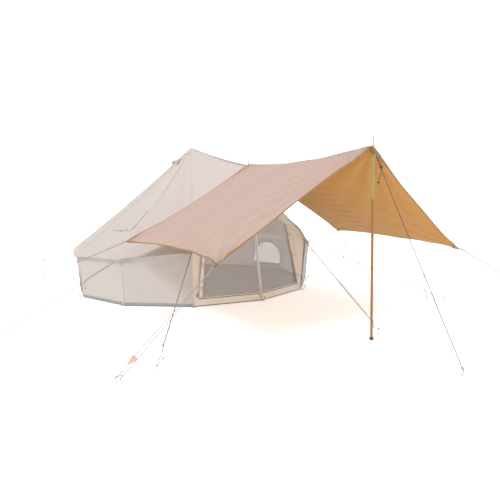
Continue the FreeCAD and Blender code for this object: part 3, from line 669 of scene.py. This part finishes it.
def make_windows():
    mesh = Build()
    for side, word in HANDS:
        middle, across, up, out = window_frame(side)

        def place(x, y):
            return rippled(middle + across * x + up * y) - out * 0.001

        mesh.grid(flat_rings(None, window_outline(0.004), (0, 0.12), 8, place, window_outline(0)[:2]),
                  closed=True)
        cover = Build()
        hinge = middle - out * 0.009 - up * 0.006
        rows = []
        for t in share(24):
            row = []
            for layer in range(6):
                for k in range(7):
                    drop = k / 6 if layer % 2 == 0 else 1 - k / 6
                    slack = noise.noise(Vector((t * 5, layer * 0.7, side))) * 0.002
                    deep = -(layer + 0.5 + drop * 0.3) * 0.0014
                    along = across * (WINDOW_HALF - 0.010) * (1 - 2 * t)
                    row.append(hinge + along - up * (0.004 + drop * 0.070 + slack) + out * deep)
            rows.append(row)
        cover.grid(rows)
        node = f"window_cover_{word}"
        folded = cover.put(f"cover_{word}", [wall_cloth], "canvas", node, body=BODY[node])
        ties = Build()
        for x in (-0.21, 0.21):
            loop = [hinge + across * x - up * (0.037 + 0.040 * math.cos(a))
                    + out * (-0.0045 + 0.0062 * math.sin(a)) for a in np.linspace(0, math.tau, 25)]
            ties.strap(loop, 0.014, across, 0.001)
        tie = ties.put(f"cover_ties_{word}", [webbing], "webbing", body=BODY[node])
    nets = mesh.put("window_nets", [dark_net], "insect_mesh", "window_meshes")


def make_groundsheet():
    """The floor with its small wrinkles, and the upstand inside the wall."""
    rings = [0.02 + 0.98 * t for t in share(36)]
    rows = []
    for t in rings:
        row = []
        for k in range(SIDES * 8):
            a, b = corner(k // 8, TUB_R * t, 0), corner(k // 8 + 1, TUB_R * t, 0)
            point = a.lerp(b, k % 8 / 8)
            lump = noise.noise(point * 2.2) + 0.5 * noise.noise(point * 7)
            point.z = 0.0045 + 0.003 * lump * (1 - t ** 8)
            row.append(point)
        rows.append(row)
    rim = rows[-1]
    for height in (0.012, 0.028, 0.044, TUB_H):
        row = []
        for k, p in enumerate(rim):
            sway = 1 - 0.0016 * (1 + noise.noise(Vector((k * 0.4, height * 9, 2))))
            row.append(Vector((p.x * sway, p.y * sway, height)))
        rows.append(row)
    cloth = Build()
    cloth.grid(rows, closed=True)
    sheet = cloth.put("groundsheet_cloth", [floor_cloth], "groundsheet", "groundsheet")
    sides = [(corner(n, TUB_R, 0), corner(n + 1, TUB_R, 0)) for n in range(SIDES)]
    area = sum(panel(Vector((0, 0, 0)), a, b) + (b - a).length * TUB_H for a, b in sides)


# ---------------------------------------------------------------- roof fittings

def make_chimney(slope):
    point, across, up, out = slope_frame(CHIMNEY_AT, CHIMNEY_R)

    def sheet_rows(half, rise, lift, seed):
        rows = []
        for t in share(18):
            row = []
            for s in share(18):
                spot = point + across * half * (2 * s - 1) + up * rise * (2 * t - 1)
                below = slope.ray_cast(spot + out * 0.2, -out)[0]
                wave = noise.noise(Vector((s * 3, t * 3, seed))) * 0.0035
                row.append(below + out * (lift + max(0, wave)))
            rows.append(row)
        return rows

    patch = Build()
    patch.grid(sheet_rows(*PATCH_HALF, 0.002, 1))
    patch = patch.put("chimney_patch_cloth", [patch_cloth], "fireproof_patch", "chimney_patch")
    body = BODY["chimney_flap"]
    flap, trim = Build(), Build()
    rows = sheet_rows(*FLAP_HALF, 0.005, 5)
    flap.grid(rows)
    flap = flap.put("chimney_flap_cloth", [canvas], "canvas", "chimney_flap", body=body)
    lift = out * 0.0014
    edges = ((rows[0], -up), ([row[-1] for row in rows], across),
             (rows[-1], up), ([row[0] for row in rows], across))
    for edge, flat in edges:
        trim.strap([p + lift for p in edge], 0.018, flat)
    eyelet = rows[0][14] + up * 0.015 + out * 0.003
    trim.tube(hoop(eyelet, across, up, 0.011), 0.0022, index=1)
    foot = rows[0][10] + up * 0.008 + out * 0.002
    loop = [foot + across * 0.020 * math.sin(a) - up * 0.030 * (1 - math.cos(a))
            for a in np.linspace(0, math.tau, 19)]
    trim.strap(loop, 0.006, out)
    trim = trim.put("chimney_flap_trim", [seam_cloth, steel], "canvas", body=body)


def make_hoods():
    """Vent hoods: pockets that open downhill, arched over a net."""
    shells, nets = Build(), Build()
    fall = (APEX_Z - (EAVE_REAR + (1 - WAIST_R / EAVE_R) * (APEX_Z - EAVE_REAR) - WAIST_DIP)) / WAIST_R
    for degrees in (-90, 90, 180):
        turn = Matrix.Rotation(math.radians(degrees), 3, "Z")

        def place(x, y, over):
            return turn @ Vector((x, y, APEX_Z + fall * y * 1.035 + 0.004 + over))

        rows = []
        for t in share(10):
            row = []
            for a in np.linspace(0, math.pi, 25):
                reach = (1 - t) ** 0.8
                y = -0.335 + 0.13 * t - 0.012 * math.sin(a) * (1 - t)
                row.append(place(-0.078 * math.cos(a) * reach, y, 0.072 * math.sin(a) * reach ** 1.2))
            rows.append(row)
        shells.grid(rows)
        shells.tube(rows[0], 0.0035, index=1)
        inner = rows[1]
        base = (inner[0] + inner[-1]) * 0.5
        nets.grid([[base.lerp(p, t) for p in inner] for t in (0.02, 0.5, 0.98)])
    hoods = shells.put("vent_hood_cloth", [canvas, seam_cloth], "canvas", "vent_hoods")
    nets.put("vent_hood_nets", [patch_cloth], "insect_mesh")


# ---------------------------------------------------------------- door

def door_outline(side):
    places = [(0, SILL_H), (SILL_HALF, SILL_H), (0.793, 0.820), (SHOULDER_HALF, SHOULDER_H),
              (HAUNCH_HALF, HAUNCH_H), (0, DOOR_TOP)]
    return [front(side, across, height) for across, height in places]


def surround_outline(side):
    top, upper, lower, foot = gable_edge(side)
    base = corner(side, TENT_R - 0.006, WALL_FOOT)
    return [front(side, 0, WALL_FOOT), base, foot + Vector((-side * 0.030, 0.050, 0.020)),
            lower + Vector((-side * 0.012, 0.012, -0.016)), upper + Vector((-side * 0.006, 0.006, -0.012)),
            top + Vector((0, 0.008, -0.016))]


def make_surround():
    cloth, trim = Build(), Build()
    steps = 14
    for side in (1, -1):
        inner, outer = door_outline(side), surround_outline(side)
        rows = []
        for i in range(len(inner) - 1):
            for t in share(steps)[:steps if i < len(inner) - 2 else steps + 1]:
                a, b = inner[i].lerp(inner[i + 1], t), outer[i].lerp(outer[i + 1], t)
                row = []
                for s in share(8):
                    point = a.lerp(b, s)
                    soft = noise.noise(point * 3.1) * 0.006 * 4 * s * (1 - s)
                    row.append(point + Vector((0, soft, 0)))
                rows.append(row)
        cloth.grid(rows)
        ahead = Vector((0, -0.004, 0))
        middle = front(side, 0.3, 0.7)
        edge = [row[0] + ahead for row in rows[steps:]]
        for inset, wide, index in ((0.004, 0.010, 1), (-0.016, 0.022, 2), (-0.032, 0.005, 0)):
            trim.edging(edge, inset, wide, middle, index)
        sill = [p[0] + ahead + UP * 0.004 for p in rows[:steps + 1]]
        trim.strap(sill, 0.010, UP, index=1)
        buckle = front(side, SILL_HALF + 0.02, SILL_H + 0.05) + Vector((0, -0.012, 0))
        frame_line = [buckle + Vector((side * 0.014 * x, 0, 0.020 * z)) for x, z in
                      ((-1, -1), (1, -1), (1, 1), (-1, 1), (-1, -1))]
        trim.tube(straight(frame_line, 0.008), 0.003, index=1)
    door = cloth.put("door_surround", [door_cloth_awning_glow], "canvas", "door_surround_left", "door_surround_right",
                     merge=0.0003)
    trims = trim.put("door_trim", [seam_cloth, zip_tape, light_tape], "canvas")
    area = sum(panel(*surround_outline(side)) - panel(*door_outline(side)) for side in (1, -1))


def leaf_outline(side):
    gap = 0.004
    inner = 0.016 if side > 0 else 0.001
    return [(SILL_HALF - gap, SILL_H + gap), (SHOULDER_HALF - gap, SHOULDER_H - 0.002),
            (HAUNCH_HALF - 0.003, HAUNCH_H - gap), (inner, DOOR_TOP - 0.012 - inner * 0.76),
            (inner, SILL_H + gap)]


def make_leaves():
    for side, word in HANDS:
        node = f"door_mesh_{word}"

        def place(x, y):
            soft = noise.noise(Vector((x * 2.0, y * 1.6, side * 3))) * 0.008
            return front(side, x, y) + Vector((0, soft, 0))

        leaf, trim = Build(), Build()
        outline = leaf_outline(side)
        leaf.grid(flat_rings(None, outline, (0.4, 0.7), 14, place, outline), closed=True)
        leaf = leaf.put(f"mesh_leaf_{word}", [net], "insect_mesh", node, body=BODY[node])
        ahead = Vector((0, -0.003, 0))
        for (ax, ay), (bx, by) in zip(outline, outline[1:] + outline[:1]):
            line = [place(ax + (bx - ax) * t, ay + (by - ay) * t) + ahead for t in share(24)]
            middle = front(side, 0.4, 0.7)
            trim.edging(line, 0.008, 0.016, middle)
        trim = trim.put(f"mesh_leaf_edge_{word}", [light_tape], "canvas", body=BODY[node])
        area = panel(*[front(side, x, y) for x, y in outline])


def make_zip():
    """The middle zip: a tape with its coil."""
    body = BODY["door_zip_strip"]
    out = Vector((0, -1, 0.14)).normalized()
    foot, top = front(1, 0, SILL_H + 0.006), front(1, 0, DOOR_TOP - 0.030)
    tapes, coil = Build(), Build()
    line = [foot.lerp(top, t) + out * (0.006 + 0.0006 * math.sin(t * 40)) for t in share(60)]
    tapes.strap(line, 0.022, EAST)
    coil.tube([p + out * 0.001 for p in line], 0.0026)
    tapes = tapes.put("zip_tape", [light_tape], "canvas", "door_zip_strip", body=body)
    teeth = coil.put("zip_coil", [zip_tape], "zip_metal", body=body)


def make_rolls():
    """The canvas doors, rolled up tightly and tied with tapes."""
    for side, word in HANDS:
        low = front(side, SILL_HALF - ROLL_ASIDE, SILL_H + 0.040) - Vector((0, ROLL_AHEAD, 0))
        high = front(side, SHOULDER_HALF + ROLL_ASIDE, SHOULDER_H - 0.040) - Vector((0, ROLL_AHEAD, 0))
        axis = (high - low).normalized()
        u = axis.orthogonal().normalized()
        v = axis.cross(u)
        ties = (0.14, 0.5, 0.86)
        steps, rows = ROLL_TURNS * ROLL_STEPS, []
        for k in range(steps + 1):
            a = math.tau * k / ROLL_STEPS
            row = []
            for t in share(40):
                pinch = 1 - 0.22 * max(math.exp(-((t - tie) / 0.03) ** 2) for tie in ties)
                r = (0.004 + (ROLL_R - 0.0065) * k / steps) * pinch
                r *= 1 + 0.10 * noise.noise(Vector((math.cos(a) * 1.2, math.sin(a) * 1.2, t * 7 + side)))
                row.append(low.lerp(high, t) + (u * math.cos(a) + v * math.sin(a)) * r)
            rows.append(row)
        cloth, bands = Build(), Build()
        cloth.grid(rows)
        roll = cloth.put(f"door_roll_{word}_cloth", [door_cloth_awning_glow], "canvas", f"door_roll_{word}")
        for tie in ties:
            centre = low.lerp(high, tie)
            bands.strap(hoop(centre, u, v, ROLL_R - 0.0040, 25), 0.014, axis, 0.0012)
            bow = centre - Vector((0, ROLL_R - 0.003, 0))
            for way in (-1, 1):
                bands.strap([bow, bow + Vector((way * 0.014, -0.003, -0.012)),
                             bow + Vector((way * 0.018, 0, -0.040))], 0.009, EAST, 0.001)
        bands = bands.put(f"door_roll_ties_{word}", [webbing], "webbing")


# ---------------------------------------------------------------- awning

def stepped(count, band, seam=None):
    """Shares from 0 to 1, with a narrow first and last step and a narrow step at a seam."""
    marks = [0.0, band] + [band + (1 - 2 * band) * t for t in share(count)[1:-1]] + [1 - band, 1.0]
    if seam:
        marks = [m for m in marks if abs(m - seam) > 0.008] + [seam - 0.003, seam + 0.003]
    return sorted(marks)


def awning_rows():
    """The whole awning as rows from the left edge over the ridge to the right edge."""
    start, middle, end = awning_tops()
    run = awning_point(0.070, 0, 0) - awning_point(0, 0, 0)
    alongs = stepped(96, 0.009, AWNING_SEAM)
    halves = {}
    for side in (1, -1):
        back, edge, fore = awning_corners(side)
        back_mid = (start + back) * 0.5 + run - UP * 0.022
        fore_mid = (end + fore) * 0.5 - run - UP * 0.018
        acrosses = [v for v in stepped(60, 0.011) if v != 0.011]
        rows = []
        for u in alongs:
            row = []
            for v in acrosses:
                top, low = through(start, middle, end, u), through(back, edge, fore, u)
                rear, head = through(start, back_mid, back, v), through(end, fore_mid, fore, v)
                square = (start * (1 - u) + end * u) * (1 - v) + (back * (1 - u) + fore * u) * v
                row.append(top * (1 - v) + low * v + rear * (1 - u) + head * u - square)
            rows.append(row)
        halves[side] = rows
    across = [-v for v in acrosses[::-1]] + acrosses[1:]
    return alongs, across, [left[::-1] + right[1:] for left, right in zip(halves[-1], halves[1])]


def awning_folds(point, u, v):
    """Tension folds that fan out from the poles and the corners."""
    start, _, end = awning_tops()
    spots = [(end, 0.022, 1.2, 24), (start, 0.012, 0.5, 17)]
    for side in (1, -1):
        back, _, fore = awning_corners(side)
        spots += [(back, 0.014, 0.6, 14), (fore, 0.016, 0.7, 15)]
    lift = 0.0
    middle = awning_point(RIDGE_RUN / 2, 0, 1.6)
    for spot, high, reach, count in spots:
        gap = point - spot
        far = math.hypot(gap.x, gap.y)
        aim = middle - spot
        turn = math.atan2(gap.x * aim.y - gap.y * aim.x, gap.x * aim.x + gap.y * aim.y)
        wave = math.sin(turn * count + 1.3 + noise.noise(gap * 1.7) * 1.6)
        lift += high * math.exp(-far / reach) * min(1, far / 0.10) * wave
    lift += noise.noise(point * 1.9) * 0.010 * min(1, abs(v) * 3)
    pucker = math.exp(-((u - AWNING_SEAM) / 0.06) ** 2)
    lift += 0.007 * pucker * math.sin(v * 75 + 3 * noise.noise(point * 1.3))
    return point + Vector((v * 0.45, 0, 0.85)) * lift


def make_awning():
    alongs, acrosses, rows = awning_rows()
    rows = [[awning_folds(p, u, v) for p, v in zip(row, acrosses)] for u, row in zip(alongs, rows)]
    last_row, last_column = len(alongs) - 2, len(acrosses) - 2

    def pick(r, c):
        if r in (0, last_row) or c in (0, last_column):
            return 2
        return 4 if abs((alongs[r] + alongs[r + 1]) / 2 - AWNING_SEAM) < 0.003 else 0

    cloth = Build()
    cloth.grid([row[::-1] for row in rows], pick=lambda r, c: pick(r, last_column - c))
    sheet = cloth.put("awning", [skylit_top_cloth, under_cloth, binding, binding, seam_line, seam_line],
                      "awning_cloth", "awning_left", "awning_right")
    solid = sheet.modifiers.new("two sides", "SOLIDIFY")
    solid.thickness = 0.0012
    solid.offset = -1
    solid.material_offset = 1
    solid.material_offset_rim = 2

    def on_awning(u, v, lift):
        r = min(max(np.searchsorted(alongs, u) - 1, 0), len(alongs) - 2)
        c = min(max(np.searchsorted(acrosses, v) - 1, 0), len(acrosses) - 2)
        a = (u - alongs[r]) / (alongs[r + 1] - alongs[r])
        b = (v - acrosses[c]) / (acrosses[c + 1] - acrosses[c])
        near, far = rows[r][c].lerp(rows[r][c + 1], b), rows[r + 1][c].lerp(rows[r + 1][c + 1], b)
        return near.lerp(far, a) + Vector((v * 0.45, 0, 0.9)) * lift

    patches = Build()
    for lift, long, wide in ((0.0022, 0.026, 0.026), (-0.0036, 0.055, 0.060)):
        for side in (1, -1):
            for u_end in (0, 1):
                patch = []
                for s in share(8):
                    row = []
                    for t in share(8):
                        u = abs(u_end - long * s * (1 - 0.45 * t))
                        v = side * (1 - wide * t * (1 - 0.45 * s))
                        row.append(on_awning(u, v, lift))
                    patch.append(row)
                patches.grid(patch, 0)
        for u_end in (0, 1):
            patches.grid([[on_awning(abs(u_end - long * s), wide * t * (1 - 0.5 * s), lift) for t in
                           [k / 4 - 1 for k in range(9)]] for s in share(6)], 0)
        for u, v in ((0, -1), (0, 1), (1, -1), (1, 1)):
            centre = on_awning(abs(u - 0.012), v * 0.985, lift)
            patches.tube(hoop(centre, EAST, NORTH, 0.011), 0.0024, index=1)
    trim = patches.put("awning_patches", [binding, steel], "awning_cloth")
    start, middle, end = awning_tops()
    area = 0
    for side in (1, -1):
        back, edge, fore = awning_corners(side)
        area += panel(start, middle, edge, back) + panel(middle, end, fore, edge)


# ---------------------------------------------------------------- ropes and what holds them

class Guy:
    """One guy line, with the same measures as in the CAD model."""

    def __init__(self, name, place, peg, part=0.25, tail=0.130, lean=0.0, double=False):
        self.name, self.peg, self.part = name, peg, part
        self.tail, self.lean, self.double = tail, lean, double
        self.line = (peg - place).normalized()
        self.side = self.line.cross(UP).normalized()
        self.over = self.side.cross(self.line).normalized()
        self.wire = place + self.line * 0.062

    def along(self, distance, over=0.0):
        return self.wire + self.line * distance + self.over * over

    def run(self):
        return (self.peg - self.wire).length

    def strand(self, distance, aside):
        return self.along(distance) + self.side * aside

    def route(self):
        run, gap = self.run(), 0.008
        at = run * self.part
        if self.double:
            return [self.strand(run, -0.042), self.strand(at, -0.048),
                    self.strand(run * 0.4, -0.025) - UP * 0.005, self.strand(-gap, -gap),
                    self.strand(-gap, gap), self.strand(run * 0.4, 0.025) - UP * 0.005,
                    self.strand(at - 0.020, 0.050), self.strand(at + 0.045, 0.014),
                    self.strand(run + 0.030, 0.034)]
        out = self.along(at + 0.030, gap + 0.003)
        low = out + self.line * 0.018 - UP * 0.045 + self.side * self.lean
        end = out + self.line * 0.014 - UP * self.tail + self.side * self.lean * 2
        return [self.along(run, -gap), self.along(run * 0.5, -gap) - UP * 0.004, self.along(-gap, -gap),
                self.along(-gap, gap), self.along(at + 0.005, gap), out, low, end]

    def rope_ends(self):
        route = self.route()
        return [route[0], route[-1]] if self.double else [route[0]]


def peg_at(x, y):
    return Vector((x, y, 0.062))


def make_guys():
    plans = (("right_1", 1.940, -3.730), ("right_2", 3.430, -2.330), ("right_3", 3.640, 0),
             ("right_4", 3.290, 1.990), ("right_5", 1.960, 3.380), ("rear", 0, 3.950),
             ("left_5", -1.960, 3.380), ("left_4", -3.350, 2.020), ("left_3", -3.640, 0),
             ("left_2", -3.760, -2.170), ("left_1", -2.530, -3.820))
    guys = []
    for number, (name, x, y) in enumerate(plans, 1):
        part = 0.86 if number in (1, 11) else 0.25
        guys.append(Guy(name, eave(number), peg_at(x, y), part, 0.120))
    back_left, _, fore_left = awning_corners(-1)
    back_right, _, fore_right = awning_corners(1)
    door_tab = eave(1) + Vector((-0.014, -0.010, -0.012))
    guys.append(Guy("door_corner", door_tab, peg_at(-0.040, -4.240), 0.93, 0.060))
    guys.append(Guy("awning_back_left", back_left, peg_at(-3.300, 0.450), 0.3))
    guys.append(Guy("awning_back_right", back_right, peg_at(2.400, -1.950), 0.2))
    guys.append(Guy("awning_front_right", fore_right, peg_at(2.560, -4.960), 0.85))
    guys.append(Guy("awning_front_left", fore_left, peg_at(-2.890, -3.850), 0.86, double=True))
    peg = peg_at(-0.480, -5.540)
    top = awning_point(RIDGE_RUN, 0, POLE_TOP - 0.040)
    top = top + Vector((peg.x - top.x, peg.y - top.y, 0)).normalized() * (POLE_R + 0.005)
    guys.append(Guy("awning_pole", top, peg, 0.055, 0.135, 0.025))
    return guys


def make_ropes(guys):
    near = 6 * ROPE
    for guy in guys:
        route = guy.route()
        line = [route[0]]
        for a, b in zip(route, route[1:]):
            if (b - a).length > 4 * near:
                way = (b - a).normalized()
                line += [a + way * near, b - way * near]
            line.append(b)
        data = bpy.data.curves.new(f"rope_{guy.name}", "CURVE")
        data.dimensions = "3D"
        data.bevel_depth = ROPE / 2
        data.bevel_resolution = 3
        data.use_fill_caps = True
        data.resolution_u = 10
        curve = data.splines.new("NURBS")
        curve.points.add(len(line) - 1)
        for point, place in zip(curve.points, line):
            point.co = (*place, 1)
        curve.order_u = 3
        curve.use_endpoint_u = True
        data.materials.append(dark_rope if guy.name in DARK_ROPES else rope_skin)
        rope = placed(f"rope_{guy.name}", data)
        stand(rope, f"guy_{guy.name}")
        length = sum((b - a).length for a, b in zip(route, route[1:]))
        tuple(route[0])


def make_fittings(guys):
    tabs, knots, hooks = Build(), Build(), Build()
    for guy in guys:
        kind = int(guy.name.startswith("awning"))
        for lift in (-0.0022, 0.0022):
            line = [guy.along(d, lift + 0.003 * math.sin(d * 90) * lift / 0.0022) for d in
                    (-0.075, -0.066, -0.056, -0.046, -0.036, -0.029)]
            tabs.strap(line, 0.026, guy.side, 0.0016, kind)
        fold = [guy.along(-0.028 + 0.0045 * math.sin(a), 0.0045 * math.cos(a))
                for a in np.linspace(0, math.pi, 9)]
        tabs.strap(fold, 0.026, guy.side, 0.0016, kind)
        if not guy.double:
            end = guy.route()[-1]
            loop = [end + Vector(((math.sin(a) + 2 * math.sin(2 * a)) * 0.0028,
                                  (math.cos(a) - 2 * math.cos(2 * a)) * 0.0028, -math.sin(3 * a) * 0.0032))
                    for a in np.linspace(0, math.tau, 37)]
            knots.tube(loop, 0.0032, 6, index=int(guy.name in DARK_ROPES))
        away = Vector((guy.line.x, guy.line.y, 0)).normalized()
        for end in guy.rope_ends():
            top = end + guy.line * (PEG_R + 0.002)
            foot = Vector((top.x, top.y, 0)) - away * 0.018
            tip = top + (top - foot) * 0.3
            hooks.tube(hook_line(tip, (top - foot).normalized(), -away), PEG_R * 0.98, 8)
    for number in range(SIDES):
        out = corner(number, 1, 0)
        side = corner(number + QUARTER, 1, 0)
        foot = corner(number, TENT_R + 0.046, 0)
        tip = foot + out * 0.034 + UP * 0.070
        hooks.tube(hook_line(tip, (tip - foot).normalized(), -out), PEG_R * 0.98, 8)
        root = corner(number, TENT_R + 0.002, 0.012)
        for way in (-1, 1):
            line = [root + side * way * 0.009, root + out * 0.020 + side * way * 0.009 - UP * 0.003,
                    root + out * 0.038 + side * way * 0.010 - UP * 0.005,
                    root + out * 0.046 + side * way * 0.002 - UP * 0.005]
            tabs.strap(spline(line, 4), 0.008, side, 0.002)
        tabs.strap([root - UP * 0.004, root + UP * 0.014, root + UP * 0.034], 0.026, side, 0.002)
    tabs.put("webbing_tabs", [webbing, binding], "webbing", "guy_tabs", "base_loops")
    knots.put("rope_knots", [rope_skin, dark_rope], "rope")
    hooks.put("peg_hooks", [galvanised], "galvanised_steel")


def hook_line(tip, up, back):
    """The bent top of a wire peg, over the rope or loop that it holds."""
    places = [(-0.004, 0), (0.004, 0.001), (0.011, 0.008), (0.011, 0.018), (0.003, 0.024), (-0.008, 0.025)]
    return spline([tip + up * a + back * b for a, b in places], 5)


# ---------------------------------------------------------------- hard parts

def paint():
    """Finishes for the CAD parts that stay in view."""
    finishes = [
        (steel, ["centre_pole_lower", "centre_pole_upper", "centre_pole_sleeve", "door_frame_legs",
                 "door_frame_rafters", "door_frame_elbows", "door_frame_bracket", "door_frame_spike",
                 "awning_pole_spike", "awning_grommets", "guy_rings"]),
        (rubber, ["centre_pole_foot", "centre_pole_cap", "awning_pole_foot", "runner_awning_pole"]),
        (bronze, ["awning_pole_lower", "awning_pole_upper"]),
        (olive, ["awning_pole_grip"]),
        (salmon, ["guy_runners", "runner_awning_front_left"]),
        (galvanised, ["guy_pegs", "base_pegs"]),
        (zip_metal, ["door_zip_slider"]),
    ]
    for material, names in finishes:
        for name in names:
            node = frame["nodes"][name]
            node.data.materials.clear()
            node.data.materials.append(material)
    for name in ("guy_runners", "runner_awning_pole", "runner_awning_front_left", "door_zip_slider"):
        bevel = frame["nodes"][name].modifiers.new("soft edges", "BEVEL")
        bevel.width = 0.0012
        bevel.segments = 2
        bevel.angle_limit = math.radians(50)


# ---------------------------------------------------------------- floor, light and camera

def make_stage():
    paper = Shader("studio_floor", rgb(246, 245, 244), 0.4, 0.985, 1.01, 0.9)
    paper.bsdf.inputs["Emission Color"].default_value = (1.0, 1.0, 1.0, 1)
    paper.bsdf.inputs["Emission Strength"].default_value = 0.45
    floor = paper.material
    mesh = bpy.data.meshes.new("studio_floor")
    size = 60
    corners = [(-size, -size, 0), (size, -size, 0), (size, size, 0), (-size, size, 0)]
    mesh.from_pydata(corners, [], [(0, 1, 2, 3)])
    mesh.materials.append(floor)
    ground = placed("studio_floor", mesh)
    world = bpy.data.worlds.new("studio")
    world.use_nodes = True
    tree = world.node_tree
    aim = tree.nodes.new("ShaderNodeSeparateXYZ")
    fade = tree.nodes.new("ShaderNodeMapRange")
    for name, value in (("From Min", 0.35), ("From Max", 1.0), ("To Min", 1.12), ("To Max", 0.50)):
        fade.inputs[name].default_value = value
    tree.links.new(tree.nodes.new("ShaderNodeTexCoord").outputs["Generated"], aim.inputs["Vector"])
    tree.links.new(aim.outputs["Z"], fade.inputs["Value"])
    tree.nodes["Background"].inputs["Color"].default_value = (1.0, 1.0, 1.0, 1)
    tree.links.new(fade.outputs["Result"], tree.nodes["Background"].inputs["Strength"])
    bpy.context.scene.world = world
    bpy.context.scene.view_settings.view_transform = "Standard"
    for name, turns, power, spread in (("key", (38, -14, -52), 1.7, 14), ("fill", (58, 0, 38), 0.3, 60)):
        light = bpy.data.lights.new(name, "SUN")
        light.energy = power
        light.angle = math.radians(spread)
        sun = placed(name, light)
        sun.rotation_euler = [math.radians(turn) for turn in turns]
    data = bpy.data.cameras.new("camera")
    data.lens, data.sensor_width, data.clip_end = LENS, 36, 300
    camera = placed("camera", data)
    level = math.cos(CAMERA_PITCH)
    right = Vector((AIM_NORTH, -AIM_EAST, 0)).normalized()
    ahead = Vector((AIM_EAST * level, AIM_NORTH * level, -math.sin(CAMERA_PITCH))).normalized()
    over = right.cross(ahead)
    turned = Matrix((right, over, -ahead)).transposed().to_4x4() @ Matrix.Rotation(CAMERA_ROLL, 4, "Z")
    camera.matrix_world = Matrix.Translation(CAMERA_AT) @ turned
    bpy.context.scene.camera = camera


roof_slope = make_roof()
make_wall()
make_windows()
make_groundsheet()
make_chimney(roof_slope)
make_hoods()
make_surround()
make_leaves()
make_zip()
make_rolls()
make_awning()
all_guys = make_guys()
make_ropes(all_guys)
make_fittings(all_guys)
paint()
make_stage()
